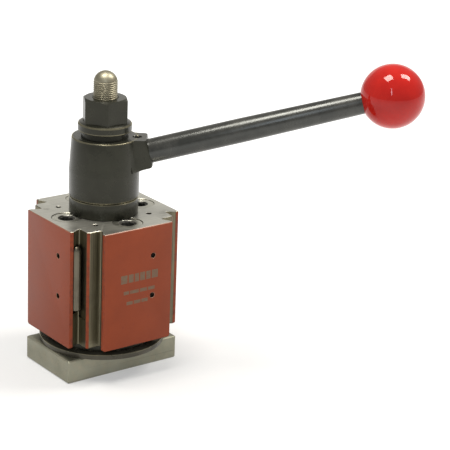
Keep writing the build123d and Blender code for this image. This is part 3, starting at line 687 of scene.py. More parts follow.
stud_faces = [tuple(range(STUD_TURNS))[::-1]]
for rings in (shank_rings, dome_rings):
    for here, above in zip(rings, rings[1:]):
        for t in range(STUD_TURNS):
            ahead = (t + 1) % STUD_TURNS
            stud_faces.append((here + t, here + ahead, above + ahead, above + t))
for t in range(STUD_TURNS - 1):
    shank, dome = shank_rings[-1] + t, dome_rings[0] + t
    stud_faces.append((shank, shank + 1, on_thread(0, t + 1), on_thread(0, t)))
    stud_faces.append((on_thread(thread_rows, t), on_thread(thread_rows, t + 1), dome + 1, dome))
    for row in range(thread_rows):
        stud_faces.append(
            (on_thread(row, t), on_thread(row, t + 1), on_thread(row + 1, t + 1), on_thread(row + 1, t))
        )
last = STUD_TURNS - 1
for row in range(thread_rows - THREAD_SAMPLES):
    ahead = row + THREAD_SAMPLES
    stud_faces.append(
        (on_thread(row, last), on_thread(ahead, 0), on_thread(ahead + 1, 0), on_thread(row + 1, last))
    )
lead_in = [on_thread(row, 0) for row in range(THREAD_SAMPLES + 1)]
stud_faces.append((shank_rings[-1] + last, shank_rings[-1], *lead_in, on_thread(0, last)))
lead_out = [on_thread(thread_rows - i, last) for i in range(THREAD_SAMPLES + 1)]
stud_faces.append((on_thread(thread_rows, 0), dome_rings[0], dome_rings[0] + last, *lead_out))
for t in range(STUD_TURNS):
    ahead = (t + 1) % STUD_TURNS
    stud_faces.append((dome_rings[-1] + t, dome_rings[-1] + ahead, len(stud_points) - 1))
stud_mesh = solid("centre_stud_threaded", stud_points, stud_faces)
stud = keep_mesh("centre_stud_threaded", stud_mesh, "base", "stud_steel", "centre_stud")
stud_mesh.set_sharp_from_angle(angle=math.radians(THREAD_SHARP_ANGLE))
stud_steel = plain_look(
    "bright_stud_steel",
    grain=(160.0, 4.0),
    band=(0.4, 0.7),
    colours=((0.33, 0.305, 0.225), (0.27, 0.245, 0.18)),
    gloss=(0.42, 0.50),
    bump=(0.003 * MM, 0.2),
    lines=(200.0, 200.0, 3000.0),
    Metallic=1.0,
)
stud.data.materials.append(stud_steel)

# ---------------------------------------------------------------- flange nut
# A hexagon nut forged in one with its washer face, chamfered at thirty degrees,
# blackened, and pulled down on the sleeve by the stud's thread.
FLANGE_HEIGHT = 7.2 * MM
ACROSS_FLATS = 33.3 * MM
NUT_TURN = 3.0
CROWN_INSET = 0.6 * MM
CROWN_ANGLE = 30.0
NUT_BORE = 9.575 * MM
NUT_MOUTH = 1.0 * MM
HEX_ROUND = 1.2 * MM

low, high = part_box("flange_nut")
flange_radius = high.x
flange_top = low.z + FLANGE_HEIGHT
corner = ACROSS_FLATS / math.sqrt(3)
hexagon = [around(corner, 60 * i + NUT_TURN) for i in range(6)]
hex_outline = round_corners(hexagon, HEX_ROUND, 3)
hex_mesh = stack("hex", [(hex_outline, flange_top - 1.0 * MM), (hex_outline, high.z + 2.0 * MM)])
crown = ACROSS_FLATS / 2 - CROWN_INSET
reach = corner - crown + 2.0 * MM
drop = reach * math.tan(math.radians(CROWN_ANGLE))
crown_cone = [
    (0.0, flange_top - 3.0 * MM),
    (crown + reach, flange_top - 3.0 * MM),
    (crown + reach, high.z - drop),
    (crown, high.z),
    (0.0, high.z),
]
hex_mesh = combine_solids(hex_mesh, "INTERSECT", lathe("crown", crown_cone, 120))
flange_rim = [
    (0.0, low.z),
    (flange_radius - 0.5 * MM, low.z),
    (flange_radius, low.z + 0.5 * MM),
    (flange_radius, flange_top - 1.9 * MM),
    (flange_radius - 0.6 * MM, flange_top - 1.0 * MM),
    (flange_radius - 2.2 * MM, flange_top - 0.3 * MM),
    (flange_radius - 3.6 * MM, flange_top),
    (0.0, flange_top),
]
nut_mesh = combine_solids(lathe("flange", flange_rim, 120), "UNION", hex_mesh)
nut_mesh = combine_solids(
    nut_mesh, "DIFFERENCE", bar(NUT_BORE, low.z - MM, high.z + 0.02 * MM, edge=NUT_MOUTH, turns=72)
)
# the flange's lower and upper edges get painted highlights of bright steel
nut_highlight_edges = [(flange_radius, low.z + 0.4 * MM), (flange_radius - 0.4 * MM, flange_top - 1.4 * MM)]
nut = keep_mesh("flange_nut_forged", nut_mesh, "base", "black_oxide", "flange_nut")
nut.data.materials.append(blackened_look("blackened_nut", highlight_edges=nut_highlight_edges))

# ------------------------------------------------------------------ the post
# A square block of steel with two dovetail guides at each corner, planed and
# ground all over, then bored for its bushes, cams, pins and clamping bars.
FACE_HALF = 31.5 * MM
LAND_INNER = (48.0 * MM, 31.8 * MM)
GROOVE_ROOT = (40.0 * MM, 27.2 * MM)
RIDGE_TIP = (40.0 * MM, 38.3 * MM)
TOP_CHAMFER = 0.5 * MM
GROOVE_CHAMFER = 1.2 * MM
CORNER_RADII = [0.35, 0.3, 2.2, 0.3, 0.3, 2.2, 0.3, 0.35]
ROOT_STEPS = 5
STATIONS = 4
OVERCUT = 0.01 * MM

low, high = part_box("post_body")
body_half = high.x
body_low = low.z
spigot_top = high.z
body_high = spigot_top - SPIGOT_HEIGHT


def to_station(k, x, y):
    """A place at the first station turned to station k."""
    a = math.radians(90 * k)
    return (x * math.cos(a) - y * math.sin(a), x * math.sin(a) + y * math.cos(a))


quarter = [
    (body_half, FACE_HALF),
    LAND_INNER,
    GROOVE_ROOT,
    RIDGE_TIP,
    RIDGE_TIP[::-1],
    GROOVE_ROOT[::-1],
    LAND_INNER[::-1],
    (FACE_HALF, body_half),
]
section = [to_station(k, x, y) for k in range(STATIONS) for x, y in quarter]
radii = [r * MM for r in CORNER_RADII] * STATIONS
outer_edge = [False] * 7 + [True]
foot_depths = [0.0 if face else GROOVE_CHAMFER for face in outer_edge * STATIONS]
rings = [
    (round_corners(inset(section, foot_depths), radii, ROOT_STEPS), body_low),
    (round_corners(section, radii, ROOT_STEPS), body_low + GROOVE_CHAMFER),
    (round_corners(section, radii, ROOT_STEPS), body_high - TOP_CHAMFER),
    (round_corners(inset(section, TOP_CHAMFER), radii, ROOT_STEPS), body_high),
]
post_mesh = stack("post_body_steel", rings)

SPIGOT_RADIUS = 22.4 * MM
BORE_RADIUS = 19.0 * MM
LOWER_BUSH_POCKET = (21.5 * MM, 45.0 * MM)
UPPER_BUSH_POCKET = (20.45 * MM, 118.0 * MM)
CAM_BORE = (11.85 * MM, 46.0 * MM)
PLUG_CIRCLE = (36.4 * MM, 47.0)
PLUG_BORE = (2.1 * MM, 9.4 * MM)
RING_SCREW_BORE = (29.5 * MM, 2.05 * MM, 42.0 * MM)
PLUNGER_BORE = (2.95 * MM, 58.0 * MM)

post_mesh = combine_solids(
    post_mesh, "UNION", bar(SPIGOT_RADIUS, body_high - 5 * MM, spigot_top, turns=96)
)
over, under = spigot_top + MM, body_low - MM
cam_joints = [joint for joint in frame["joints"] if joint["name"].startswith("cam_turn")]
cam_centres = [tuple(joint["pos_m"][:2]) for joint in cam_joints]
bores = [
    bar(BORE_RADIUS, under, over, turns=96),
    bar(PLUNGER_BORE[0], under, PLUNGER_BORE[1], around(*PLUG_CIRCLE)),
]
for k in range(STATIONS):
    bores += [
        bar(CAM_BORE[0], CAM_BORE[1], body_high + OVERCUT, cam_centres[k], 0.4 * MM, 80),
        bar(
            PLUG_BORE[0],
            body_high - PLUG_BORE[1],
            body_high + OVERCUT,
            around(PLUG_CIRCLE[0], PLUG_CIRCLE[1] + 90 * k),
            0.3 * MM,
            32,
        ),
        bar(RING_SCREW_BORE[1], under, RING_SCREW_BORE[2], around(RING_SCREW_BORE[0], 90 * k), turns=24),
    ]
post_mesh = combine_solids(post_mesh, "DIFFERENCE", merge(*bores))
bush_pockets = merge(
    bar(LOWER_BUSH_POCKET[0], under, LOWER_BUSH_POCKET[1], turns=96),
    bar(UPPER_BUSH_POCKET[0], UPPER_BUSH_POCKET[1], over, turns=96),
)
post_mesh = combine_solids(post_mesh, "DIFFERENCE", bush_pockets)

# pockets of the clamping bars, the reliefs facing them, and the cross bores
GIB_CENTRE = (-43.9 * MM, -29.5 * MM)
GIB_POCKET_RADIUS = 4.05 * MM
GIB_POCKET_REACH = 6.0 * MM
GIB_POCKET_LEVELS = (58.8 * MM, 114.5 * MM)
RELIEF_LEVELS = (54.0 * MM, 114.2 * MM)
RELIEF_X = (-40.6 * MM, -39.4 * MM)
RELIEF_Y = (-37.6 * MM, -27.2 * MM)
PIN_X = -42.0 * MM
PIN_BORE = 3.05 * MM
PIN_Y = (-5.98 * MM, -29.5 * MM)
PIN_LEVELS = (68.8 * MM, 102.2 * MM)
FACE_SCREW_Y = -13.8 * MM
FACE_SCREW_BORE = 2.1 * MM


def rod(radius, start, end, edge=0.0, turns=32):
    """Round bar between two places, widened by a chamfer at its far end."""
    way = Vector(end) - Vector(start)
    mesh = bar(radius, 0.0, way.length, (0.0, 0.0), edge, turns)
    turn_to = way.to_track_quat("Z", "Y").to_matrix().to_4x4()
    mesh.transform(Matrix.Translation(Vector(start)) @ turn_to)
    return mesh


def at_station(k, x, y, z):
    return (*to_station(k, x, y), z)


def slab(k, corner_a, corner_b, low_z, high_z):
    """Rectangular block between two plan corners of the first station."""
    (x0, y0), (x1, y1) = corner_a, corner_b
    plan = [to_station(k, x, y) for x, y in ((x0, y0), (x1, y0), (x1, y1), (x0, y1))]
    return stack("slab", [(plan, low_z), (plan, high_z)])


pockets, cross_bores, screw_bores = [], [], []
for k in range(STATIONS):
    gx, gy = GIB_CENTRE
    r = GIB_POCKET_RADIUS
    mouth = [(gx - r, gy - GIB_POCKET_REACH), (gx + r, gy - GIB_POCKET_REACH)]
    round_end = [
        (gx + r * math.cos(math.pi * i / 16), gy + r * math.sin(math.pi * i / 16)) for i in range(17)
    ]
    plan = [to_station(k, x, y) for x, y in mouth + round_end]
    pockets.append(stack("pocket", [(plan, GIB_POCKET_LEVELS[0]), (plan, GIB_POCKET_LEVELS[1])]))
    relief_corners = zip(RELIEF_X, RELIEF_Y)
    pockets.append(slab(k, *relief_corners, *RELIEF_LEVELS))
    for level in PIN_LEVELS:
        inner_end = at_station(k, PIN_X, PIN_Y[0], level)
        outer_end = at_station(k, PIN_X, PIN_Y[1], level)
        cross_bores.append(rod(PIN_BORE, inner_end, outer_end))
        deep_end = at_station(k, PIN_X, FACE_SCREW_Y, level)
        mouth_end = at_station(k, -body_half - OVERCUT, FACE_SCREW_Y, level)
        screw_bores.append(rod(FACE_SCREW_BORE, deep_end, mouth_end, 0.35 * MM))
post_mesh = combine_solids(
    post_mesh,
    "DIFFERENCE",
    merge(*screw_bores),
    merge(*pockets[0::2]),
    merge(*pockets[1::2]),
    merge(*cross_bores),
)
post = keep_mesh("post_body_steel", post_mesh, "post", "ground_steel", "post_body")


def planed_look():
    """Planed guides with upright lines and oil stains; all below the top is coloured far darker, as
    painted shade in the guides.
    """
    look = new_look("planed_steel")
    upright = noise(look, position(look, (1100.0, 1100.0, 16.0)), 1.0, 4.0, 0.65)
    level = noise(look, position(look, (30.0, 1300.0, 30.0)), 1.0, 3.0, 0.6)
    x, y, z = coordinates(look)
    on_top = spread(look, z, body_high - 0.3 * MM, body_high - 0.1 * MM)
    stain = noise(look, position(look), 48.0, 5.0, 0.6)
    # the side colour is painted shade, far darker than the top of the same steel
    side = grade(look, upright, 0.42, 0.74, (0.185, 0.167, 0.112), (0.080, 0.072, 0.050))
    top = grade(look, level, 0.42, 0.74, (0.60, 0.59, 0.53), (0.48, 0.47, 0.42))
    tone = blend_colours(look, on_top, side, top)
    tone = grade(look, stain, 0.60, 0.85, tone, (0.10, 0.09, 0.065))
    across = combine(look, "MAXIMUM", *(combine(look, "ABSOLUTE", axis) for axis in (x, y)))
    rim = spread(look, across, body_half - TOP_CHAMFER, body_half - 0.9 * TOP_CHAMFER)
    tone = blend_colours(look, rim, tone, (0.26, 0.115, 0.070))
    normal = relief(look, upright, 0.02 * MM, 0.35)
    surface(
        look,
        Base_Color=tone,
        Metallic=spread(look, rim, 0.0, 1.0, 1.0, 0.15),
        Roughness=spread(look, stain, 0.3, 0.7, 0.36, 0.46),
        Normal=normal,
    )
    return look


post.data.materials.append(planed_look())

# ---------------------------------------------------------------- post paint
# A coat of semi-gloss brick red enamel over the four outer faces, the lands
# beside the guides and the ridge tips; top edges and screw rims stay bare.
PAINT_PROUD = 0.06 * MM
PAINT_SUNK = 0.05 * MM
PAINT_ROUND = [0.04, 0.41, 0.41, 0.04, 0.0, 0.30, 0.30, 0.0]
TIP_ROUND = [0.04, 0.04, 0.0, 0.0]
SCREW_RIM = 2.55 * MM
WARM_SHEEN = (1.0, 0.86, 0.70, 1.0)


def paint_strip(name, corners, rounding):
    """Film over a run of the section's corners, over the height of the post."""
    film = []
    for depths, z in (
        (foot_depths, body_low),
        ([0.0] * len(section), body_low + GROOVE_CHAMFER),
        ([0.0] * len(section), body_high - TOP_CHAMFER),
    ):
        outside = inset(section, [d - PAINT_PROUD for d in depths])
        inside = inset(section, [d + PAINT_SUNK for d in depths])
        run = [outside[i] for i in corners] + [inside[i] for i in reversed(corners)]
        film.append((round_corners(run, [r * MM for r in rounding], 3), z))
    return stack(name, film)


films = []
for k in range(STATIONS):
    face = [(8 * k + i) % len(section) for i in (6, 7, 8, 9)]
    tip = [8 * k + 3, 8 * k + 4]
    films += [paint_strip("face", face, PAINT_ROUND), paint_strip("tip", tip, TIP_ROUND)]
rims = []
for k in range(STATIONS):
    for level in PIN_LEVELS:
        ends = [at_station(k, x, FACE_SCREW_Y, level) for x in (MM - body_half, -MM - body_half)]
        rims.append(rod(SCREW_RIM, *ends))
film_mesh = combine_solids(merge(*films), "DIFFERENCE", merge(*rims))
film_mesh.name = "post_paint_film"
film = keep_mesh("post_paint_film", film_mesh, "post", "post_paint")


def enamel_look():
    """Brick red enamel, a little uneven, darker along the face edges and at the foot."""
    look = new_look("brick_red_enamel")
    x, y, z = coordinates(look)
    across = combine(look, "MINIMUM", *(combine(look, "ABSOLUTE", axis) for axis in (x, y)))
    cloud = noise(look, position(look), 34.0, 4.0, 0.55)
    fine = noise(look, position(look, shift=(1.0, 2.0, 3.0)), 260.0, 5.0, 0.6)
    peel = noise(look, position(look), 520.0, 2.0, 0.5)
    tone = grade(look, cloud, 0.35, 0.68, (0.215, 0.031, 0.007), (0.250, 0.038, 0.009))
    tone = grade(look, fine, 0.60, 0.85, tone, (0.185, 0.026, 0.010))
    # the enamel turns darker towards the faces' upright edges and the post's foot, broken by fine noise
    edge = spread(look, across, FACE_HALF - 0.9 * MM, FACE_HALF - 0.05 * MM)
    foot = spread(look, z, body_low + 1.2 * MM, body_low + 0.1 * MM)
    darker_edges_and_foot = combine(look, "MAXIMUM", edge, foot)
    darker_edges_and_foot = combine(look, "MULTIPLY", darker_edges_and_foot, spread(look, fine, 0.46, 0.70))
    tone = blend_colours(look, darker_edges_and_foot, tone, (0.13, 0.020, 0.010))
    normal = relief(look, peel, 0.03 * MM, 0.35)
    surface(
        look,
        Base_Color=tone,
        Roughness=spread(look, cloud, 0.3, 0.7, 0.34, 0.42),
        Specular_IOR_Level=0.30,
        Specular_Tint=WARM_SHEEN,
        Normal=normal,
    )
    return look


film.data.materials.append(enamel_look())

# ------------------------------------------------------------- printed panel
# A plain ruled panel in tan ink on one face, where a maker would put a name.
# It holds bars only, screen printed over the enamel.
PANEL_ROWS = [
    (86.9, 6.8, [(-16.2, -10.2), (-9.0, -4.4), (-3.2, 0.6), (1.8, 6.4), (7.6, 11.6), (12.8, 18.6)]),
    (75.4, 2.8, [(-13.4, -8.4), (-7.4, 0.8), (1.8, 8.6), (9.6, 15.8)]),
    (66.4, 2.8, [(-10.6, -4.8), (-3.8, 2.6), (3.6, 9.4)]),
]
INK_PROUD = 0.02 * MM
inks = []
for row_level, row_height, spans in PANEL_ROWS:
    for start, end in spans:
        inks.append(
            slab(
                0,
                (start * MM, -body_half - PAINT_PROUD - INK_PROUD),
                (end * MM, -body_half - PAINT_PROUD / 2),
                (row_level - row_height / 2) * MM,
                (row_level + row_height / 2) * MM,
            )
        )
panel = keep_mesh("printed_panel", merge(*inks), "post", "dark_steel")
tan_ink = plain_look(
    "tan_ink",
    grain=(700.0, 4.0, 0.6),
    band=(0.38, 0.66),
    colours=((0.120, 0.078, 0.036), (0.15, 0.056, 0.022)),
    gloss=(0.4, 0.55),
)
panel.data.materials.append(tan_ink)

# ------------------------------------------------------------ bronze bushes
# Two plain bearing bushes pressed into the ends of the post's bore, cast in
# bronze and bored to run on the sleeve.
bronze = plain_look(
    "bearing_bronze",
    grain=(220.0, 4.0),
    band=(0.4, 0.7),
    colours=((0.60, 0.39, 0.18), (0.42, 0.26, 0.12)),
    gloss=(0.28, 0.42),
    bump=(0.01 * MM, 0.4),
    lines=(300.0, 300.0, 2500.0),
    Metallic=1.0,
)
finish_nodes(bronze, "lower_bush", "upper_bush", "needle_cage", "knob_insert")

# ---------------------------------------------------------- retaining collar
# A turned and blackened ring on the post's spigot that holds the bearing.  Its
# top is recessed over the races, and one set screw locks it.
COLLAR_BORE = 22.45 * MM
COLLAR_RECESS = 24.7 * MM
COLLAR_SCREW_TURN = 52.0
COLLAR_SCREW_BORE = 2.05 * MM

low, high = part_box("retaining_collar")
collar_radius = high.x
collar_rim = [
    (COLLAR_BORE, low.z),
    (collar_radius, low.z),
    (collar_radius, high.z),
    (COLLAR_RECESS, high.z),
    (COLLAR_RECESS, spigot_top),
    (COLLAR_BORE, spigot_top),
]
collar_rounds = [r * MM for r in (0.2, 0.8, 1.1, 0.3, 0.2, 0.2)]
collar_mesh = lathe("retaining_collar_turned", round_corners(collar_rim, collar_rounds, 3), 144)
screw_level = (body_high + spigot_top) / 2
collar_mesh = combine_solids(
    collar_mesh,
    "DIFFERENCE",
    rod(
        COLLAR_SCREW_BORE,
        (*around(COLLAR_BORE - MM, COLLAR_SCREW_TURN), screw_level),
        (*around(collar_radius + OVERCUT, COLLAR_SCREW_TURN), screw_level),
        0.3 * MM,
    ),
)
collar = keep_mesh("retaining_collar_turned", collar_mesh, "post", "black_oxide", "retaining_collar")
# the collar's top edge gets a painted highlight of bright steel
collar_highlight_edges = [(collar_radius - 0.3 * MM, high.z - 0.3 * MM)]
collar.data.materials.append(blackened_look("blackened_collar", highlight_edges=collar_highlight_edges))
finish_nodes(screw_steel, "collar_screw")

# ------------------------------------------------------------ thrust bearing
# Two hardened washers with a caged ring of needle rollers between them, hidden
# in the collar's recess; the lever hub turns on it.
race_steel = plain_look(
    "lapped_bearing_steel",
    grain=(1400.0, 3.0),
    band=(0.4, 0.7),
    colours=((0.66, 0.66, 0.65), (0.52, 0.52, 0.52)),
    gloss=(0.12, 0.22),
    bump=(0.005 * MM, 0.3),
    Metallic=1.0,
)
finish_nodes(race_steel, "thrust_washer_lower", "thrust_washer_upper", "needle_rollers")

# --------------------------------------------------------------- cam barrels
# Four hardened cam shafts stand in the post, each turned by a hexagon key in
# its top and kept by a rubber ring.  Their top ends are ground with the post.
CAM_SEAL_LEVEL = 121.0 * MM
CAM_SEAL_HALF = 0.95 * MM
CAM_SEAL_DEPTH = 1.85 * MM
CAM_MOUTH = 7.0 * MM
CAM_MOUTH_DEPTH = 1.2 * MM
CAM_SOCKET_CORNER = 10.0 / math.sqrt(3) * MM
CAM_SOCKET_DEPTH = 10.0 * MM
CAM_SOCKET_TURN = 15.0
CAM_NECK = 8.5 * MM
CAM_NECK_HALF = 4.5 * MM
CAM_THROW = 1.1 * MM


def cam_look():
    look = new_look("furnace_black_cam")
    scale = noise(look, position(look), 320.0, 5.0, 0.6)
    grind = noise(look, position(look, (30.0, 1300.0, 30.0)), 1.0, 3.0, 0.6)
    height = coordinates(look)[2]
    on_top = spread(look, height, body_high - 0.62 * MM, body_high - 0.52 * MM)
    tone = grade(look, scale, 0.42, 0.72, (0.030, 0.029, 0.025), (0.10, 0.095, 0.085))
    top = grade(look, grind, 0.42, 0.74, (0.56, 0.55, 0.48), (0.36, 0.35, 0.30))
    tone = blend_colours(look, on_top, tone, top)
    surface(
        look,
        Base_Color=tone,
        Metallic=spread(look, on_top, 0.0, 1.0, 0.05, 1.0),
        Roughness=spread(look, scale, 0.3, 0.7, 0.34, 0.46),
        Specular_IOR_Level=0.15,
        Normal=relief(look, scale, 0.015 * MM, 0.35),
    )
    return look


rubber = plain_look(
    "black_seal_rubber",
    grain=(600.0, 4.0),
    band=(0.45, 0.75),
    colours=((0.012, 0.012, 0.012), (0.035, 0.034, 0.033)),
    gloss=(0.5, 0.7),
)
cam_steel = cam_look()
for k in range(STATIONS):
    low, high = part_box(f"cam_barrel_{k + 1}")
    centre = cam_centres[k]
    cam_radius = (high.x - low.x) / 2
    line = [
        (0.0, low.z),
        (cam_radius, low.z),
        (cam_radius, CAM_SEAL_LEVEL - CAM_SEAL_HALF),
        (cam_radius - CAM_SEAL_DEPTH, CAM_SEAL_LEVEL - CAM_SEAL_HALF),
        (cam_radius - CAM_SEAL_DEPTH, CAM_SEAL_LEVEL + CAM_SEAL_HALF),
        (cam_radius, CAM_SEAL_LEVEL + CAM_SEAL_HALF),
        (cam_radius, high.z),
        (CAM_MOUTH, high.z),
        (CAM_MOUTH - CAM_MOUTH_DEPTH, high.z - CAM_MOUTH_DEPTH),
        (0.0, high.z - CAM_MOUTH_DEPTH),
    ]
    rounds = [r * MM for r in (0.0, 0.5, 0.1, 0.1, 0.1, 0.1, 0.4, 0.15, 0.1, 0.0)]
    cam_mesh = lathe("cam", round_corners(line, rounds, 2), 96, centre)
    across = Vector(to_station(k, *around(1.0, CAM_SOCKET_TURN)))
    upright = Vector((-across.y, across.x))
    hexagon = [
        tuple(Vector(centre) + across * x + upright * y)
        for x, y in (around(CAM_SOCKET_CORNER, 60 * i) for i in range(6))
    ]
    socket = stack("socket", [(hexagon, high.z - CAM_SOCKET_DEPTH), (hexagon, high.z + MM)])
    tools = [socket]
    throw = to_station(k, *around(CAM_THROW, 45.0))
    for level in PIN_LEVELS:
        disc_tool = bar(cam_radius + MM, level - CAM_NECK_HALF, level + CAM_NECK_HALF, centre, turns=64)
        neck_centre = (centre[0] + throw[0], centre[1] + throw[1])
        neck = bar(CAM_NECK, level - CAM_NECK_HALF - MM, level + CAM_NECK_HALF + MM, neck_centre)
        tools.append(combine_solids(disc_tool, "DIFFERENCE", neck))
    cam_mesh = combine_solids(cam_mesh, "DIFFERENCE", *tools)
    cam_mesh.name = f"cam_{k + 1}_turned"
    cam = keep_mesh(f"cam_{k + 1}_turned", cam_mesh, f"cam_{k + 1}", "dark_steel", f"cam_barrel_{k + 1}")
    cam.data.materials.append(cam_steel)
    finish_nodes(rubber, f"cam_seal_{k + 1}")

# ------------------------------------------------- clamping bars, push pins
# One ground round bar lies in the right-hand guide of each face, pushed by two
# pins from the cam beside it.  Hardened, ground bright, pointed at the foot.
bar_steel = ground_look("ground_bar_steel", (0.135, 0.12, 0.09), (1500.0, 1500.0, 40.0), 0.30)
for k in range(STATIONS):
    finish_nodes(bar_steel, f"gib_bar_{k + 1}")
    finish_nodes(ground_steel, f"push_pins_{k + 1}")

# ------------------------------------------------------- face screws, plugs
# Small black set screws close the cross bores in the faces and the oil holes
# in the top of the post.
finish_nodes(screw_steel, "face_screws", "top_plugs", "handle_set_screw")

# ----------------------------------------------------------------- lever hub
# A turned steel boss that carries the handle.  A block is forged out on one
# side for the handle's bore; all of it is oil blackened and polished.
HUB_TAPER_START = 162.0 * MM
HUB_TOP_RADIUS = 26.0 * MM
HUB_SKIRT = 24.4 * MM
HUB_BORE = 18.55 * MM
HUB_SKIRT_GAP = 2.5 * MM
HANDLE_TURN = -37.5
HANDLE_RISE = 15.55
HANDLE_CROSS = 167.9 * MM
BOSS_END = 37.5 * MM
BOSS_HALF_WIDTH = 11.2 * MM
BOSS_BELOW = 11.5 * MM
BOSS_ROUND = 2.6 * MM
BOSS_CORNER = 2.4 * MM
BOSS_FILLET = 14.0 * MM
BOSS_SIDE_BLEND = 32.3 * MM
BOSS_START = 21.5 * MM
BOSS_STEPS = 14
BOSS_OVER = 60.0 * MM
BOSS_ROOM = 100.0 * MM
SEAL_LOW = 185.85 * MM
SEAL_POCKET = 20.6 * MM
SEAL_POCKET_HEIGHT = 2.1 * MM
HANDLE_BORE = 9.7 * MM
HANDLE_SEAT = 23.5 * MM

low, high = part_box("lever_hub")
hub_skirt_low = low.z
hub_low = hub_skirt_low + HUB_SKIRT_GAP
hub_high = high.z
hub_radius = -low.x
hub_rim = [
    (HUB_BORE, hub_skirt_low),
    (HUB_SKIRT, hub_skirt_low),
    (HUB_SKIRT, hub_low),
    (hub_radius, hub_low),
    (hub_radius, HUB_TAPER_START),
    (HUB_TOP_RADIUS, hub_high),
    (HUB_BORE, hub_high),
]
hub_rounds = [r * MM for r in (0.2, 0.2, 0.2, 0.9, 6.0, 1.0, 0.4)]
hub_mesh = lathe("lever_hub_turned", round_corners(hub_rim, hub_rounds, 4), 160)

# the handle's own frame: z along the handle, y up the boss
swing = math.radians(HANDLE_TURN)
lift = math.radians(HANDLE_RISE)
handle_way = Vector(
    (math.cos(lift) * math.cos(swing), math.cos(lift) * math.sin(swing), math.sin(lift))
)
handle_side = Vector((-math.sin(swing), math.cos(swing), 0.0))
handle_up = handle_way.cross(handle_side)
handle_frame = Matrix.Translation((0.0, 0.0, HANDLE_CROSS)) @ Matrix(
    (handle_side, handle_up, handle_way)
).transposed().to_4x4()


def along_handle(mesh):
    """Moves a mesh made about the z axis onto the handle's axis."""
    mesh.transform(handle_frame)
    return mesh


def boss_section(along):
    """Outline of the boss across the handle, flared where it leaves the hub."""
    side = BOSS_HALF_WIDTH
    if along < BOSS_SIDE_BLEND:
        side += BOSS_FILLET - math.sqrt(max(0.0, BOSS_FILLET**2 - (BOSS_SIDE_BLEND - along) ** 2))
    return [(-side, -BOSS_BELOW), (side, -BOSS_BELOW), (side, BOSS_OVER), (-side, BOSS_OVER)]


boss_rings = []
for i in range(BOSS_STEPS + 1):
    along = BOSS_START + (BOSS_END - BOSS_ROUND - BOSS_START) * i / BOSS_STEPS
    boss_rings.append((round_corners(boss_section(along), BOSS_CORNER, 4), along))
for i in range(1, 6):
    a = math.pi / 2 * i / 5
    along = BOSS_END - BOSS_ROUND + BOSS_ROUND * math.sin(a)
    corners = inset(boss_section(BOSS_END), BOSS_ROUND * (1 - math.cos(a)))
    boss_rings.append((round_corners(corners, BOSS_CORNER, 4), along))
boss_mesh = along_handle(stack("boss", boss_rings))
room = [(x * BOSS_ROOM, y * BOSS_ROOM) for x, y in ((-1, -1), (1, -1), (1, 1), (-1, 1))]
ceiling = stack("ceiling", [(room, BOSS_ROOM), (room, hub_high - 0.02 * MM)])
boss_mesh = combine_solids(boss_mesh, "INTERSECT", ceiling)
inside = bar(HUB_BORE + MM, BOSS_ROOM, 2.5 * BOSS_ROOM, turns=96)
boss_mesh = combine_solids(boss_mesh, "DIFFERENCE", inside)
hub_mesh = combine_solids(hub_mesh, "UNION", boss_mesh)
screw_low, screw_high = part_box("handle_set_screw")
screw_centre = ((screw_low.x + screw_high.x) / 2, (screw_low.y + screw_high.y) / 2)
screw_radius = (screw_high.x - screw_low.x) / 2
hub_mesh = combine_solids(
    hub_mesh,
    "DIFFERENCE",
    along_handle(bar(HANDLE_BORE, HANDLE_SEAT, 60 * MM, turns=64)),
    bar(
        screw_radius + 0.05 * MM,
        screw_low.z - 0.05 * MM,
        hub_high + OVERCUT,
        screw_centre,
        0.5 * MM,
        40,
    ),
)
seal_pocket = bar(SEAL_POCKET, SEAL_LOW, SEAL_LOW + SEAL_POCKET_HEIGHT, turns=96)
hub_mesh = combine_solids(hub_mesh, "DIFFERENCE", seal_pocket)
# the hub's top and lower edges get painted highlights of bright steel
hub_highlight_edges = [(HUB_TOP_RADIUS - 0.3 * MM, hub_high - 0.3 * MM), (hub_radius, hub_low + 0.3 * MM)]
hub = keep_mesh("lever_hub_forged", hub_mesh, "lever", "black_oxide", "lever_hub")
hub.data.materials.append(blackened_look("blackened_hub", highlight_edges=hub_highlight_edges))
finish_nodes(rubber, "hub_seal")

# -------------------------------------------------------------------- handle
# A long steel bar pushed into the boss and held by the set screw.  It tapers
# from its middle to the knob, and is polished before it is blackened.
HANDLE_START = 23.6 * MM
HANDLE_TAPER = 112.0 * MM
HANDLE_END = 209.4 * MM
HANDLE_STUD_END = 229.0 * MM
HANDLE_RADIUS = 9.65 * MM
HANDLE_END_RADIUS = 8.6 * MM
HANDLE_STUD_RADIUS = 4.75 * MM
SCREW_DIMPLE = 0.05 * MM

handle_line = [
    (0.0, HANDLE_START),
    (HANDLE_RADIUS, HANDLE_START),
    (HANDLE_RADIUS, HANDLE_TAPER),
    (HANDLE_END_RADIUS, HANDLE_END),
    (HANDLE_STUD_RADIUS, HANDLE_END),
    (HANDLE_STUD_RADIUS, HANDLE_STUD_END),
    (0.0, HANDLE_STUD_END),
]
handle_rounds = [r * MM for r in (0.0, 0.8, 30.0, 0.5, 0.2, 0.5, 0.0)]
handle_mesh = along_handle(lathe("handle", round_corners(handle_line, handle_rounds, 4), 96))
handle_mesh = combine_solids(
    handle_mesh,
    "DIFFERENCE",
    bar(
        screw_radius + 0.05 * MM,
        screw_low.z - SCREW_DIMPLE,
        hub_high + 10 * MM,
        screw_centre,
        turns=40,
    ),
)
handle = keep_mesh("handle_bar_polished", handle_mesh, "lever", "handle_black", "handle_bar")


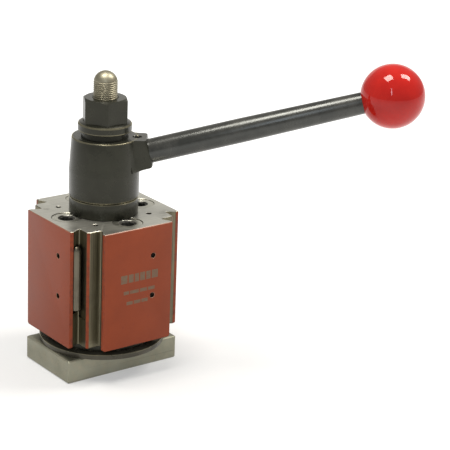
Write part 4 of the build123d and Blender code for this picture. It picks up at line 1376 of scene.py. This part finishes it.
def polished_black_look():
    look = new_look("polished_black_steel")
    drawn = noise(look, position(look, (90.0, 90.0, 900.0)), 1.0, 3.0, 0.6)
    haze = noise(look, position(look), 60.0, 5.0, 0.6)
    specks = noise(look, position(look), 1500.0, 2.0)
    tone = grade(look, haze, 0.40, 0.72, (0.020, 0.020, 0.018), (0.045, 0.043, 0.038))
    tone = grade(look, specks, 0.70, 0.85, tone, (0.10, 0.095, 0.085))
    surface(
        look,
        Base_Color=tone,
        Roughness=spread(look, haze, 0.3, 0.7, 0.22, 0.30),
        Specular_IOR_Level=0.55,
        Specular_Tint=(0.97, 1.0, 0.96, 1.0),
        Normal=relief(look, drawn, 0.01 * MM, 0.3),
    )
    return look


handle.data.materials.append(polished_black_look())

# ---------------------------------------------------------------- ball knob
# A two inch ball of red moulded phenolic, threaded by a bronze insert onto the
# end of the handle and polished all over.
BALL_CENTRE = 231.6 * MM
BALL_RADIUS = 25.4 * MM
BALL_MOUTH = 8.7 * MM
BALL_SEAT = 209.45 * MM
INSERT_BORE = 7.05 * MM
INSERT_END = 232.05 * MM
BALL_STEPS = 72

mouth_angle = math.asin(BALL_MOUTH / BALL_RADIUS)
ball_line = [(0.0, BALL_CENTRE + BALL_RADIUS)]
for i in range(1, BALL_STEPS + 1):
    a = (math.pi - mouth_angle) * i / BALL_STEPS
    ball_line.append((BALL_RADIUS * math.sin(a), BALL_CENTRE + BALL_RADIUS * math.cos(a)))
ball_line += [(BALL_MOUTH, BALL_SEAT), (INSERT_BORE, BALL_SEAT), (INSERT_BORE, INSERT_END)]
ball_line.append((0.0, INSERT_END))
ball_mesh = along_handle(lathe("ball_knob", ball_line[::-1], 128))
ball = keep_mesh("ball_knob_polished", ball_mesh, "lever", "knob_red", "ball_knob")


def phenolic_look():
    look = new_look("red_phenolic")
    cloud = noise(look, position(look), 60.0, 3.0)
    dust = noise(look, position(look), 900.0, 3.0, 0.6)
    tone = grade(look, cloud, 0.35, 0.65, (0.37, 0.010, 0.007), (0.43, 0.014, 0.009))
    tone = grade(look, dust, 0.72, 0.90, tone, (0.50, 0.05, 0.04))
    surface(
        look,
        Base_Color=tone,
        Roughness=spread(look, cloud, 0.3, 0.7, 0.04, 0.07),
        Specular_IOR_Level=0.30,
        Normal=relief(look, cloud, 0.05 * MM, 0.15),
    )
    return look


ball.data.materials.append(phenolic_look())
